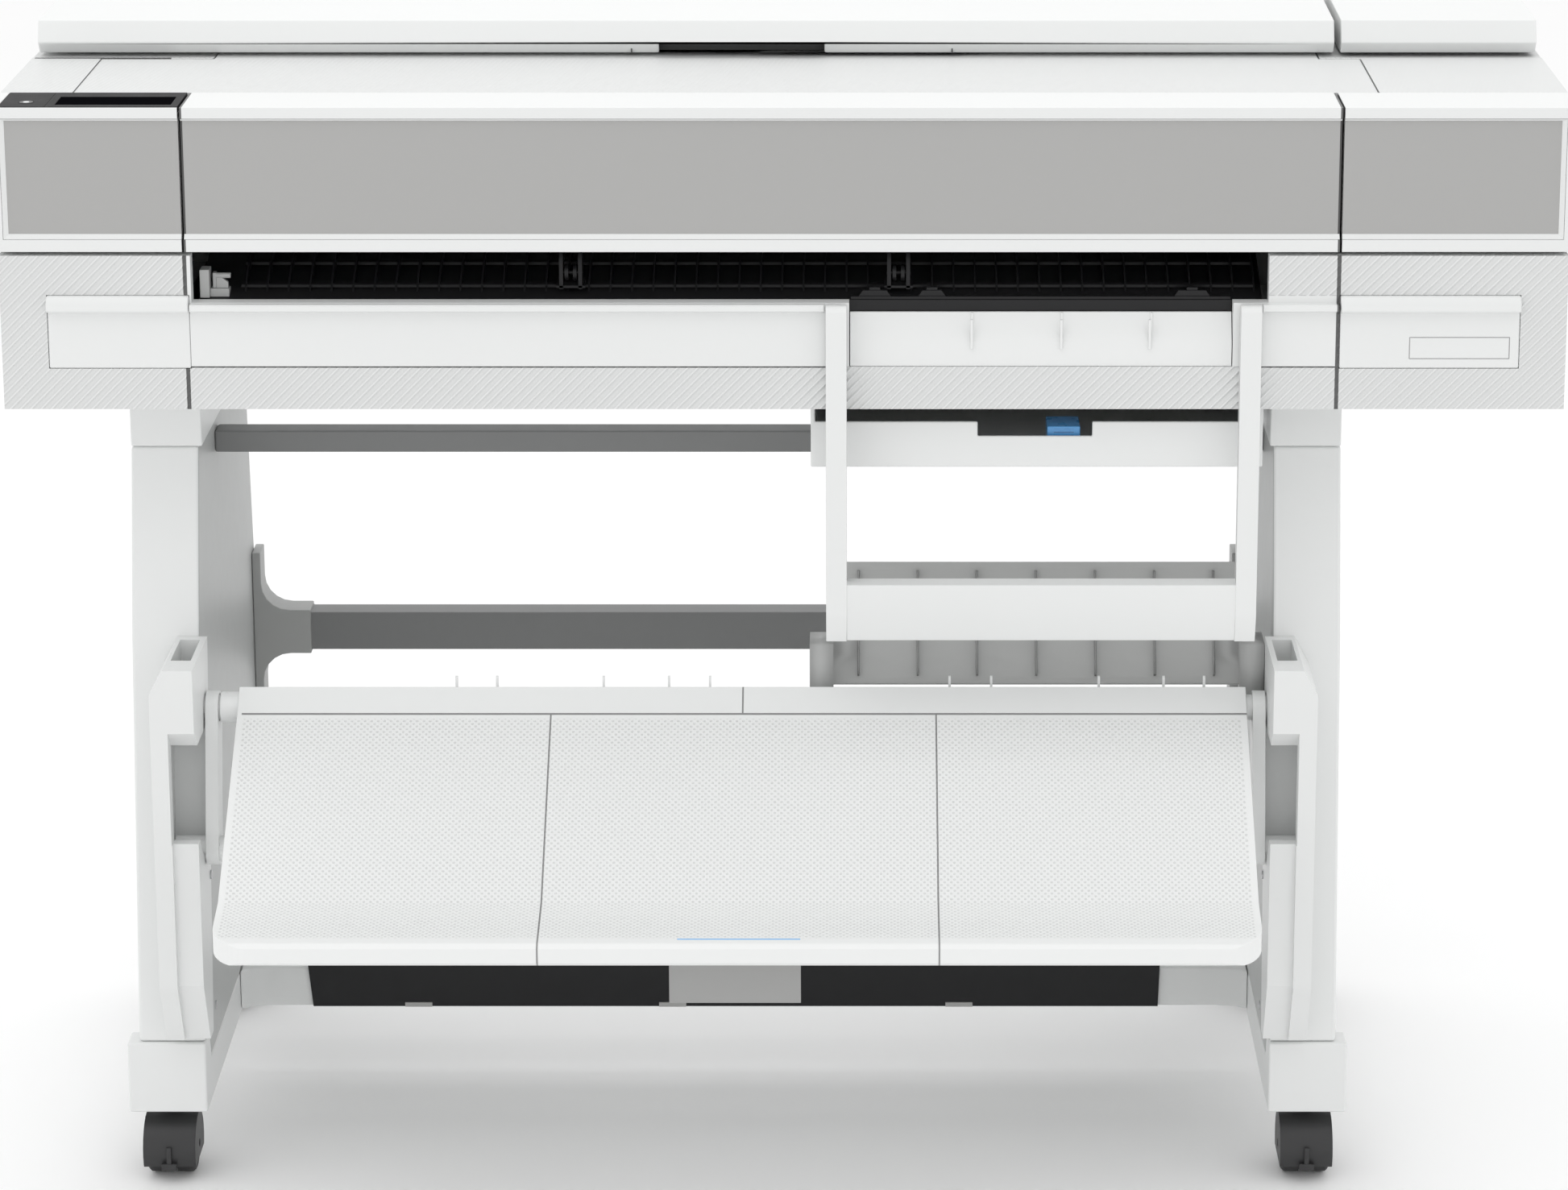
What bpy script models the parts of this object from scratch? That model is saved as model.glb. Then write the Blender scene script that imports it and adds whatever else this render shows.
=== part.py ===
"""Large format plotter on a wheeled stand with a front stacker platform.

Metres, +Z up. The origin is on the floor, under the middle of the overall box. +X is to the
right of someone who faces the machine and the front looks along -Y.
"""

import math

import bmesh
import bpy
from mathutils import Matrix, Vector

# ---- driving dimensions: machine body -------------------------------------------------------
BAND_WIDTH = 1.317          # upper half of the body, across
LOWER_WIDTH = 1.3086        # lower half of the body, across
BODY_FRONT = -0.157         # front face of the body
BODY_DEPTH = 0.450
LOWER_HEIGHT = 0.1317
BAND_GAP = 0.0033           # shadow gap between the halves
BAND_HEIGHT = 0.122
ROLL_COVER_RISE = 0.034     # roll cover above the top surface
WALL = 0.004
FRONT_WALL = 0.014
TOP_WALL = 0.012
GAP = 0.0003                # clearance between touching pieces
SEAM = 0.0008               # half of a visible seam
SEAM_LEFT = -0.4999         # seam between left end and front cover
SEAM_RIGHT = 0.4639         # seam between front cover and right end
WING_LEFT = -0.5973         # the front cover's ribbed top is wider than its front
WING_RIGHT = 0.4993
STRIP_DEPTH = 0.068         # smooth strip along the front of the top
TOP_DEPTH = 0.2265          # top surface, front to back
COVER_THICKNESS = 0.006
PANEL_INSET = 0.0035        # grey panels sit behind the white frame
PANEL_THICKNESS = 0.005
PANEL_LOW = 0.0107          # frame height under and over the grey panels
PANEL_HIGH = 0.0095
PANEL_SIDE = 0.0095
ROLL_COVER_FRONT = 0.233    # behind the front face
ROLL_COVER_SEAM = 0.4805
ROLL_COVER_WIDTH = 1.3076
ROLL_COVER_WALL = 0.003
NOTCH_WIDTH = 0.1445        # finger notch of the roll cover
NOTCH_X = -0.0398
SLOT_LEFT = -0.4944         # media exit slot
SLOT_RIGHT = 0.4047
SLOT_SILL = 0.0915          # sill above the bottom of the body
MOUTH_INSET = 0.0196        # lower cut-out for small sheets, from the frame's left side
MOUTH_WIDTH = 0.3209
MOUTH_SILL = 0.0366
LEDGE_HEIGHT = 0.0091
LEDGE_REACH = 0.008
LEDGE_END = 0.6152

# ---- driving dimensions: stand --------------------------------------------------------------
STAND_X = -0.04375          # the stand stands left of the middle of the body
STAND_SPACING = 0.9303      # clear width between the legs
LEG_THICKNESS = 0.0585
FOOT_FRONT = -0.131
FOOT_LENGTH = 0.480
FOOT_BEAM = 0.0388
FOOT_BLOCK = 0.0645
FOOT_FLARE = 0.0102         # the foot is wider than the leg on the outside
LEG_RISE = 0.5173
CAP_HEIGHT = 0.0627
CASTER_HEIGHT = 0.0625
WHEEL_RADIUS = 0.025
WHEEL_WIDTH = 0.0155
HOOD_RADIUS = 0.029
HOOD_WIDTH = 0.046
CASTER_TRAIL = 0.014
CASTER_INSET = 0.036        # stem axis from the end of the foot
TUBE_RADIUS = 0.011
UPPER_TUBE_Y = -0.106
UPPER_TUBE_Z = 0.428
LOWER_TUBE_Y = -0.132
LOWER_TUBE_Z = 0.3085
ARM_WIDTH = 0.0375
ARM_OUTSET = 0.028          # arm's outer side from the leg's outer side
ARM_FRONT = -0.1805
ARM_TOP = 0.484
ARM_BOTTOM = 0.1375
BEAM_DEPTH = 0.027

# ---- driving dimensions: stacker and sheet handling -----------------------------------------
PLATFORM_CLEAR_LEFT = 0.0372     # leg's inner face to the platform
PLATFORM_CLEAR_RIGHT = 0.0253
PLATFORM_THICKNESS = 0.0195
PLATFORM_REACH = 0.243      # tube axis to the front lip
FRAME_INSET = 0.3864        # right leg's inner face to the frame's left side
FRAME_WIDTH = 0.3635
FRAME_DROP = 0.2876         # pivot to the bottom of the hanging frame
FRAME_BAR = 0.0175
TRAY_INSET = 0.3994         # right leg's inner face to the tray's left side
TRAY_WIDTH = 0.382
TRAY_DEPTH = 0.337
TRAY_HEIGHT = 0.0555

# ---- levels worked out from the above -------------------------------------------------------
Z_FOOT = CASTER_HEIGHT
Z_BEAM = Z_FOOT + FOOT_BEAM
Z_BLOCK = Z_FOOT + FOOT_BLOCK
Z_CAP = Z_BLOCK + LEG_RISE
Z_BODY = Z_CAP + CAP_HEIGHT
Z_LOWER_TOP = Z_BODY + LOWER_HEIGHT
Z_BAND = Z_LOWER_TOP + BAND_GAP
Z_TOP = Z_BAND + BAND_HEIGHT
Z_APEX = Z_TOP + ROLL_COVER_RISE
Y_REAR = BODY_FRONT + BODY_DEPTH
Y_TOP_REAR = BODY_FRONT + TOP_DEPTH
Y_STRIP = BODY_FRONT + STRIP_DEPTH
Y_ROLL = BODY_FRONT + ROLL_COVER_FRONT
FOOT_REAR = FOOT_FRONT + FOOT_LENGTH
Z_SILL = Z_BODY + SLOT_SILL
Z_MOUTH = Z_BODY + MOUTH_SILL
LEG_INNER = STAND_SPACING / 2
LEG_OUTER = LEG_INNER + LEG_THICKNESS
PLATFORM_LEFT = STAND_X - LEG_INNER + PLATFORM_CLEAR_LEFT
PLATFORM_WIDTH = STAND_SPACING - PLATFORM_CLEAR_LEFT - PLATFORM_CLEAR_RIGHT
FRAME_LEFT = STAND_X + LEG_INNER - FRAME_INSET
TRAY_LEFT = STAND_X + LEG_INNER - TRAY_INSET
MOUTH_LEFT = FRAME_LEFT + MOUTH_INSET
MOUTH_RIGHT = MOUTH_LEFT + MOUTH_WIDTH


def clear_scene():
    for obj in list(bpy.data.objects):
        bpy.data.objects.remove(obj, do_unlink=True)


def new_collection(name):
    collection = bpy.data.collections.new(name)
    bpy.context.scene.collection.children.link(collection)
    return collection


clear_scene()
PARTS = new_collection("large_format_plotter")
CUTTERS = new_collection("cutters")


# ---- materials ------------------------------------------------------------------------------
def material(name, colour, roughness=0.5, metallic=0.0):
    found = bpy.data.materials.get(name)
    if found:
        return found
    made = bpy.data.materials.new(name)
    made.use_nodes = True
    shader = made.node_tree.nodes["Principled BSDF"]
    shader.inputs["Base Color"].default_value = (*colour, 1.0)
    shader.inputs["Roughness"].default_value = roughness
    shader.inputs["Metallic"].default_value = metallic
    return made


WHITE = ((0.80, 0.81, 0.80), 0.45, 0.0)
GREY = ((0.33, 0.33, 0.33), 0.45, 0.0)
BEAM_GREY = ((0.30, 0.31, 0.31), 0.5, 0.0)
BLACK = ((0.02, 0.02, 0.02), 0.45, 0.0)
STEEL = ((0.55, 0.55, 0.55), 0.3, 1.0)
BLUE = ((0.12, 0.33, 0.62), 0.35, 0.0)


# ---- shape helpers --------------------------------------------------------------------------
def dress(obj, finish, collection=PARTS):
    """Puts an object in its collection with a material of its own."""
    collection.objects.link(obj)
    if finish is None:
        obj.hide_render = True
        obj.display_type = "WIRE"
    else:
        colour, roughness, metallic = finish
        obj.data.materials.append(material(obj.name, colour, roughness, metallic))
    return obj


def mesh_object(name, build, finish):
    """A mesh object that build(bm) fills; finish None makes it a cutter."""
    bm = bmesh.new()
    build(bm)
    mesh = bpy.data.meshes.new(name)
    bm.to_mesh(mesh)
    bm.free()
    obj = bpy.data.objects.new(name, mesh)
    return dress(obj, finish, PARTS if finish else CUTTERS)


def box(name, low, high, finish=None):
    """A box between two corners."""
    low, high = Vector(low), Vector(high)

    def build(bm):
        bmesh.ops.create_cube(bm, size=1.0)
        bmesh.ops.scale(bm, vec=high - low, verts=bm.verts)
        bmesh.ops.translate(bm, vec=(low + high) / 2, verts=bm.verts)

    return mesh_object(name, build, finish)


TURNS = {
    "X": Matrix.Rotation(math.pi / 2, 4, "Y"),
    "Y": Matrix.Rotation(math.pi / 2, 4, "X"),
    "Z": Matrix.Identity(4),
}


def rod(name, centre, radius, length, axis="X", finish=None, segments=20):
    """A cylinder about its centre, along X, Y or Z."""

    def build(bm):
        bmesh.ops.create_cone(bm, cap_ends=True, segments=segments, radius1=radius,
                              radius2=radius, depth=length)
        bmesh.ops.transform(bm, matrix=TURNS[axis], verts=bm.verts)
        bmesh.ops.translate(bm, vec=centre, verts=bm.verts)

    return mesh_object(name, build, finish)


# Where a flat outline's own axes go: along X (outline in y, z), Y (x, z) or Z (x, y).
FACINGS = {
    "X": Matrix(((0, 0, 1, 0), (1, 0, 0, 0), (0, 1, 0, 0), (0, 0, 0, 1))),
    "Y": Matrix(((1, 0, 0, 0), (0, 0, -1, 0), (0, 1, 0, 0), (0, 0, 0, 1))),
    "Z": Matrix.Identity(4),
}


def plate(name, outline, start, end, axis="X", finish=None, holes=()):
    """A flat outline with holes, extruded from start to end along an axis."""
    curve = bpy.data.curves.new(name, "CURVE")
    curve.dimensions = "2D"
    curve.fill_mode = "BOTH"
    curve.extrude = (end - start) / 2
    for points in (outline, *holes):
        spline = curve.splines.new("POLY")
        spline.points.add(len(points) - 1)
        for point, (a, b) in zip(spline.points, points):
            point.co = (a, b, 0.0, 1.0)
        spline.use_cyclic_u = True
    guide = bpy.data.objects.new(name + "_outline", curve)
    CUTTERS.objects.link(guide)
    bpy.context.view_layer.update()
    graph = bpy.context.evaluated_depsgraph_get()
    mesh = bpy.data.meshes.new_from_object(guide.evaluated_get(graph))
    bpy.data.objects.remove(guide, do_unlink=True)
    bm = bmesh.new()
    bm.from_mesh(mesh)
    bmesh.ops.remove_doubles(bm, verts=bm.verts, dist=0.00001)
    middle = (start + end) / 2
    shift = {"X": (middle, 0, 0), "Y": (0, middle, 0), "Z": (0, 0, middle)}[axis]
    bmesh.ops.transform(bm, matrix=Matrix.Translation(shift) @ FACINGS[axis], verts=bm.verts)
    bmesh.ops.recalc_face_normals(bm, faces=bm.faces)
    bm.to_mesh(mesh)
    bm.free()
    mesh.name = name
    obj = bpy.data.objects.new(name, mesh)
    return dress(obj, finish, PARTS if finish else CUTTERS)


def turned(name, profile, centre, finish=None, axis="X", segments=20):
    """A turned piece from (distance along the axis, radius) pairs, closed on the axis."""
    mesh = bpy.data.meshes.new(name)
    points = [(0.0, profile[0][0])] + [(r, a) for a, r in profile] + [(0.0, profile[-1][0])]
    points.reverse()
    mesh.from_pydata([(r, 0.0, a) for r, a in points],
                     [(i, i + 1) for i in range(len(points) - 1)], [])
    obj = bpy.data.objects.new(name, mesh)
    dress(obj, finish, PARTS if finish else CUTTERS)
    screw = obj.modifiers.new("turn", "SCREW")
    screw.axis = "Z"
    screw.steps = segments
    screw.render_steps = segments
    screw.use_merge_vertices = True
    screw.merge_threshold = 0.0001
    obj.matrix_world = Matrix.Translation(centre) @ TURNS[axis]
    return obj


def arc(centre, radius, start, end, steps):
    """Points on an arc, with angles in degrees."""
    points = []
    for i in range(steps + 1):
        angle = math.radians(start + (end - start) * i / steps)
        points.append((centre[0] + radius * math.cos(angle), centre[1] + radius * math.sin(angle)))
    return points


def combine(obj, operation, others, solver="EXACT"):
    for other in others:
        modifier = obj.modifiers.new(other.name, "BOOLEAN")
        modifier.operation = operation
        modifier.solver = solver
        modifier.object = other
    return obj


def cut(obj, *others):
    return combine(obj, "DIFFERENCE", others)


def add(obj, *others):
    return combine(obj, "UNION", others)


def origin_at(obj, point):
    """Moves an object's origin to a point on its joint's axis."""
    shift = Vector(point) - obj.matrix_world.translation
    obj.data.transform(obj.matrix_world.to_3x3().to_4x4().inverted()
                       @ Matrix.Translation(-shift) @ obj.matrix_world.to_3x3().to_4x4())
    obj.location = obj.location + shift
    return obj


# ---- machine body ---------------------------------------------------------------------------
def make_lower_housing():
    """The lower half of the body: a hollow box with the media slot, mouth and door openings."""
    half = LOWER_WIDTH / 2
    body = box("lower_housing", (-half, BODY_FRONT, Z_BODY), (half, Y_REAR, Z_LOWER_TOP), WHITE)
    hollow = box("lower_hollow", (-half + WALL, BODY_FRONT + FRONT_WALL, Z_BODY + WALL),
                 (half - WALL, Y_REAR - WALL, Z_LOWER_TOP + WALL))
    slot = box("media_slot", (SLOT_LEFT, BODY_FRONT - WALL, Z_SILL),
               (SLOT_RIGHT, BODY_FRONT + 2 * FRONT_WALL, Z_LOWER_TOP + WALL))
    mouth = box("sheet_mouth", (MOUTH_LEFT, BODY_FRONT - WALL, Z_MOUTH),
                (MOUTH_RIGHT, BODY_FRONT + 2 * FRONT_WALL, Z_SILL + WALL))
    reach_x, reach_z = INLET_WIDTH / 2 + GAP, INLET_HEIGHT / 2 + GAP
    inlet = box("inlet_hole", (INLET_X - reach_x, Y_REAR - 2 * WALL, INLET_Z - reach_z),
                (INLET_X + reach_x, Y_REAR + WALL, INLET_Z + reach_z))
    ledge = [(BODY_FRONT + 0.002, Z_SILL - LEDGE_HEIGHT),
             (BODY_FRONT - LEDGE_REACH, Z_SILL - LEDGE_HEIGHT * 0.6),
             (BODY_FRONT - LEDGE_REACH, Z_SILL - 0.0015),
             (BODY_FRONT - LEDGE_REACH + 0.0015, Z_SILL - 0.0002),
             (BODY_FRONT + 0.002, Z_SILL - 0.0002)]
    ledges = [plate("ledge_centre", ledge, SEAM_LEFT + 0.0045, FRAME_LEFT - 0.0015, "X"),
              plate("ledge_right", ledge, FRAME_LEFT + FRAME_WIDTH + 0.0015, SEAM_RIGHT - SEAM, "X")]
    add(body, *ledges)
    openings = []
    for word, (start, end), depth in (("door_opening", DOOR_SPAN, 2 * FRONT_WALL),
                                      ("cover_pocket_right", SIDE_COVER_SPAN, DOOR_THICKNESS + GAP)):
        openings.append(box(word, (start - GAP, BODY_FRONT - 2 * LEDGE_REACH, Z_DOOR - GAP),
                            (end + GAP, BODY_FRONT + depth, Z_DOOR + DOOR_HEIGHT + GAP)))
    return cut(body, hollow, slot, mouth, inlet, *openings)


DOOR_SPAN = (-0.6152, SEAM_LEFT + 0.0035)
SIDE_COVER_SPAN = (SEAM_RIGHT + SEAM, 0.6152)
DOOR_HEIGHT = 0.0627
DOOR_THICKNESS = 0.005
Z_DOOR = Z_BODY + 0.0352
DOOR_LIP = 0.0156


def make_side_doors():
    """Ink door on the left and its fixed twin on the right, each with a finger lip on top."""
    face, back = BODY_FRONT, BODY_FRONT + DOOR_THICKNESS
    top = Z_DOOR + DOOR_HEIGHT
    lip = face - LEDGE_REACH
    outline = [(back, Z_DOOR), (face, Z_DOOR), (face, top - DOOR_LIP), (lip, top - DOOR_LIP + 0.0030),
               (lip, top - 0.0060), (lip + 0.0045, top), (back, top)]
    plate("side_cover", outline, *SIDE_COVER_SPAN, "X", WHITE)
    door = plate("ink_door", outline, *DOOR_SPAN, "X", WHITE)
    return origin_at(door, (sum(DOOR_SPAN) / 2, face, Z_DOOR))


def make_sheet_flap():
    """Flap in the small sheet mouth; its upper part leans back and has three ribs."""
    face = BODY_FRONT + 0.0012
    low, top = Z_MOUTH + GAP, Z_MOUTH + 0.0443
    knee = low + 0.019
    left, right = MOUTH_LEFT + 0.0008, MOUTH_RIGHT - 0.0008
    outline = [(face, low), (face, knee), (face + 0.0110, top), (face + 0.0135, top),
               (face + 0.0035, knee - 0.001), (face + 0.0035, low)]
    flap = plate("sheet_flap", outline, left, right, "X", WHITE)
    ribs = []
    for i in range(3):
        x = left + (right - left) * (0.32 + 0.235 * i)
        ribs.append(plate(f"flap_rib_{i}", [(face + 0.0012, knee + 0.001), (face + 0.0095, top - 0.0002),
                                            (face + 0.0122, top - 0.0002), (face + 0.0030, knee)],
                          x - 0.0009, x + 0.0009, "X"))
    add(flap, *ribs)
    return origin_at(flap, ((left + right) / 2, face, low))


INLET_X = 0.520
INLET_WIDTH = 0.0275
INLET_HEIGHT = 0.0215
INLET_Z = Z_BODY + 0.045


def make_power_inlet():
    low_z = INLET_Z - INLET_HEIGHT / 2
    half = INLET_WIDTH / 2
    front = Y_REAR - 0.022
    socket = box("power_inlet", (INLET_X - half, front, low_z),
                 (INLET_X + half, Y_REAR, low_z + INLET_HEIGHT), BLACK)
    rim = 0.0035
    well = box("inlet_well", (INLET_X - half + rim, front + rim, low_z + rim),
               (INLET_X + half - rim, Y_REAR + rim, low_z + INLET_HEIGHT - rim))
    return cut(socket, well)


COVER_STEP = 0.0008


def make_shell(name, low_x, high_x, wing_x):
    """An end shell, open below, with the front cover's wing let into its top."""
    rear = Y_REAR - 0.005
    shell = box(name, (low_x, BODY_FRONT, Z_BAND), (high_x, rear, Z_TOP), WHITE)
    hollow = box(name + "_hollow", (low_x + WALL, BODY_FRONT + FRONT_WALL, Z_BAND - WALL),
                 (high_x - WALL, rear - WALL, Z_TOP - TOP_WALL))
    seam = high_x if low_x < 0 else low_x
    beyond = seam + math.copysign(WALL, seam - wing_x)
    wing = sorted((wing_x, beyond))
    recess = box(name + "_recess", (wing[0], Y_STRIP - 2 * GAP, Z_TOP - COVER_THICKNESS - 2 * GAP),
                 (wing[1], Y_TOP_REAR + 0.002, Z_TOP + WALL))
    side = sorted((beyond, math.copysign(BAND_WIDTH / 2 - PANEL_SIDE + GAP, low_x)))
    pocket = box(name + "_pocket", (side[0], BODY_FRONT - WALL, Z_BAND + PANEL_LOW - GAP),
                 (side[1], BODY_FRONT + PANEL_INSET + PANEL_THICKNESS + GAP, Z_TOP - PANEL_HIGH + GAP))
    step = box(name + "_step", (low_x - WALL, Y_ROLL - COVER_STEP, Z_TOP - COVER_STEP),
               (high_x + WALL, Y_REAR + WALL, Z_TOP + WALL))
    return cut(shell, hollow, recess, pocket, step, rear_corner(name + "_corner"))


def make_end_shells():
    left = make_shell("upper_shell_left", -BAND_WIDTH / 2, SEAM_LEFT - SEAM, WING_LEFT - SEAM)
    right = make_shell("upper_shell_right", SEAM_RIGHT + SEAM, BAND_WIDTH / 2, WING_RIGHT + SEAM)
    display = box("display_pocket", (DISPLAY_LEFT - GAP, DISPLAY_FRONT - GAP, Z_TOP - DISPLAY_SINK - GAP),
                  (SEAM_LEFT + WALL, Y_STRIP - 0.001, Z_TOP + WALL))
    cut(left, display)
    return left, right


DISPLAY_LEFT = -0.650
DISPLAY_FRONT = BODY_FRONT + 0.002
DISPLAY_SINK = 0.005
SCREEN = ((-0.6036, -0.1443), (-0.508, -0.1102))
SCREEN_SINK = 0.0015
BUTTON_X = -0.629
BUTTON_Y = -0.134
BUTTON_RADIUS = 0.006
BUTTON_TRAVEL = 0.0012


def make_display():
    base = Z_TOP - DISPLAY_SINK
    bezel = box("display_bezel", (DISPLAY_LEFT, DISPLAY_FRONT, base),
                (SEAM_LEFT - SEAM - GAP, Y_STRIP - 0.001 - GAP, Z_TOP + 0.0004), BLACK)
    (x0, y0), (x1, y1) = SCREEN
    well = box("screen_well", (x0 - GAP, y0 - GAP, Z_TOP - SCREEN_SINK - GAP),
               (x1 + GAP, y1 + GAP, Z_TOP + WALL))
    hole = rod("button_hole", (BUTTON_X, BUTTON_Y, Z_TOP), BUTTON_RADIUS + GAP, 0.005, "Z")
    cut(bezel, well, hole)
    box("touch_screen", (x0, y0, Z_TOP - SCREEN_SINK), (x1, y1, Z_TOP + 0.0002), BLACK)
    button = rod("power_button", (BUTTON_X, BUTTON_Y, Z_TOP - 0.00005), BUTTON_RADIUS, 0.0015,
                 "Z", BLACK)
    return origin_at(button, (BUTTON_X, BUTTON_Y, Z_TOP))


def make_panels():
    """The grey front panels of the two ends."""
    front = BODY_FRONT + PANEL_INSET
    low, high = Z_BAND + PANEL_LOW, Z_TOP - PANEL_HIGH
    outer = BAND_WIDTH / 2 - PANEL_SIDE
    back = front + PANEL_THICKNESS
    box("side_panel_left", (-outer, front, low), (SEAM_LEFT - SEAM - GAP, back, high), GREY)
    box("side_panel_right", (SEAM_RIGHT + SEAM + GAP, front, low), (outer, back, high), GREY)


def make_ink_cartridges():
    """A holder with four cartridges side by side, behind the ink door."""
    low_x, high_x = DOOR_SPAN[0] + 0.004, DOOR_SPAN[1] - 0.004
    front = BODY_FRONT + 0.020
    low = Z_BODY + WALL + GAP
    top = Z_DOOR + DOOR_HEIGHT - 0.004
    holder = box("ink_cartridges", (low_x, front + 0.012, low), (high_x, front + 0.130, top), BLACK)
    pitch = (high_x - low_x) / 4
    fronts = []
    for i in range(4):
        x = low_x + (i + 0.5) * pitch
        fronts.append(box(f"cartridge_{i}", (x - pitch * 0.4, front, Z_DOOR + 0.004),
                          (x + pitch * 0.4, front + 0.020, top - 0.006)))
    return add(holder, *fronts)


COVER_HINGE = (0.0, Y_TOP_REAR - 0.002, Z_TOP - 0.0005)


def make_front_cover():
    """Lift-up cover: strip and front band in one bent profile, with a wider ribbed top."""
    low = Z_TOP - COVER_THICKNESS
    left, right = SEAM_LEFT + SEAM, SEAM_RIGHT - SEAM
    rear = Y_TOP_REAR - 0.001
    front = BODY_FRONT + PANEL_INSET
    back = front + PANEL_THICKNESS + GAP
    panel_low, panel_high = Z_BAND + PANEL_LOW - GAP, Z_TOP - PANEL_HIGH + GAP
    wall = BODY_FRONT + FRONT_WALL
    outline = [(BODY_FRONT, Z_BAND), (wall, Z_BAND), (wall, low), (rear, low), (rear, Z_TOP),
               (BODY_FRONT, Z_TOP), (BODY_FRONT, panel_high), (back, panel_high), (back, panel_low),
               (BODY_FRONT, panel_low)]
    cover = plate("front_cover", outline, left, right, "X", WHITE)
    wings = [box("cover_wing_left", (WING_LEFT, Y_STRIP, low + 0.0002),
                 (left + 0.01, rear - 0.0002, Z_TOP - 0.0002)),
             box("cover_wing_right", (right - 0.01, Y_STRIP, low + 0.0002),
                 (WING_RIGHT, rear - 0.0002, Z_TOP - 0.0002))]
    add(cover, *wings)
    origin_at(cover, COVER_HINGE)
    panel = box("cover_panel", (left, front, Z_BAND + PANEL_LOW),
                (right, front + PANEL_THICKNESS, Z_TOP - PANEL_HIGH), GREY)
    return origin_at(panel, COVER_HINGE)


BAY_FRONT = Y_TOP_REAR + 0.0008
BAY_TOP = Z_TOP - 0.0005
SPINDLE_Y = 0.183
SPINDLE_Z = Z_TOP - 0.049
TROUGH_RADIUS = 0.068


def make_roll_bay():
    """The trough under the roll cover and the spindle that lies in it."""
    rear = Y_REAR - 0.005
    half_width = math.sqrt(TROUGH_RADIUS ** 2 - (BAY_TOP - SPINDLE_Z) ** 2)
    angle = math.degrees(math.asin((BAY_TOP - SPINDLE_Z) / TROUGH_RADIUS))
    trough = arc((SPINDLE_Y, SPINDLE_Z), TROUGH_RADIUS, angle, -180 - angle, 16)
    outline = [(BAY_FRONT, Z_BAND), (rear, Z_BAND), (rear, BAY_TOP), *trough, (BAY_FRONT, BAY_TOP)]
    if SPINDLE_Y + half_width > rear:
        raise ValueError("the trough is wider than the body")
    left, right = SEAM_LEFT + SEAM, SEAM_RIGHT - SEAM
    bay = plate("roll_bay", outline, left, right, "X", WHITE)
    cut(bay, rear_corner("bay_corner"))
    length = right - left - 0.002
    hub = 0.048
    core = 0.0125
    profile = [(0.0, core), (0.012, core), (0.012, hub), (0.020, hub), (0.030, core + 0.012),
               (0.055, core + 0.012), (0.055, core), (length - 0.055, core),
               (length - 0.055, core + 0.012), (length - 0.030, core + 0.012), (length - 0.020, hub),
               (length - 0.012, hub), (length - 0.012, core), (length, core)]
    return turned("roll_spindle", profile, (left + 0.001, SPINDLE_Y, SPINDLE_Z), BLACK)


ROLL_SWEEP = 0.078
ROLL_CENTRE = (Y_REAR - ROLL_SWEEP, Z_APEX - ROLL_SWEEP)
ROLL_LOW = Z_TOP + 0.0028
ROLL_FOOT = Z_TOP - 0.105
ROLL_REAR_WALL = ROLL_COVER_WALL + 0.0015
ROLL_HINGE = (0.0, Y_REAR - ROLL_REAR_WALL / 2, ROLL_FOOT)


def make_roll_cover(name, low_x, high_x):
    """A curved cover, open below; its rear wall reaches down to the hinge."""
    wall = ROLL_COVER_WALL
    inner = ROLL_SWEEP - ROLL_REAR_WALL
    turn = math.degrees(math.asin((ROLL_LOW - ROLL_CENTRE[1]) / inner))
    top = Z_APEX - 0.0022
    outline = [(Y_ROLL + 0.008, ROLL_LOW), (Y_ROLL, ROLL_LOW + 0.010), (Y_ROLL + 0.008, top),
               *arc(ROLL_CENTRE, ROLL_SWEEP, 90, 0, 8), (Y_REAR, ROLL_FOOT),
               (Y_REAR - ROLL_REAR_WALL, ROLL_FOOT), *arc(ROLL_CENTRE, inner, 0, turn, 4)]
    cover = plate(name, outline, low_x, high_x, "X", WHITE)
    hollow = [(Y_ROLL + 0.008 + wall, ROLL_LOW - 0.02), (Y_ROLL + 0.008 + wall, top - wall),
              *arc(ROLL_CENTRE, ROLL_SWEEP - wall, 90, turn + 4, 7),
              (ROLL_CENTRE[0] + inner * math.cos(math.radians(turn)) - 0.001, ROLL_LOW - 0.02)]
    return cut(cover, plate(name + "_hollow", hollow, low_x + wall, high_x - wall, "X"))


def rear_corner(name):
    """Cutter that rounds a rear top edge off, so that it stays inside the roll cover."""
    inner = ROLL_SWEEP - ROLL_REAR_WALL - 0.001
    beyond = Y_REAR + 0.02
    outline = [*arc(ROLL_CENTRE, inner, -4, 60, 8), (ROLL_CENTRE[0] + 0.02, Z_TOP + 0.03),
               (beyond, Z_TOP + 0.03), (beyond, ROLL_CENTRE[1] - 0.004)]
    return plate(name, outline, -BAND_WIDTH, BAND_WIDTH, "X")


def make_roll_covers():
    half = ROLL_COVER_WIDTH / 2
    cover = make_roll_cover("roll_cover", -half, ROLL_COVER_SEAM - 0.003)
    notch = box("finger_notch", (NOTCH_X - NOTCH_WIDTH / 2, Y_ROLL - WALL, Z_TOP - WALL),
                (NOTCH_X + NOTCH_WIDTH / 2, Y_ROLL + 0.024, Z_TOP + 0.0125))
    cut(cover, notch)
    origin_at(cover, ROLL_HINGE)
    return make_roll_cover("rear_cover_right", ROLL_COVER_SEAM + 0.003, half)


# ---- paper path inside ----------------------------------------------------------------------
PLATEN_TOP = Z_LOWER_TOP - 0.012
ROLLER_RADIUS = 0.011
ROLLER_Y = 0.048
ROLLER_Z = PLATEN_TOP - 0.006


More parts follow.
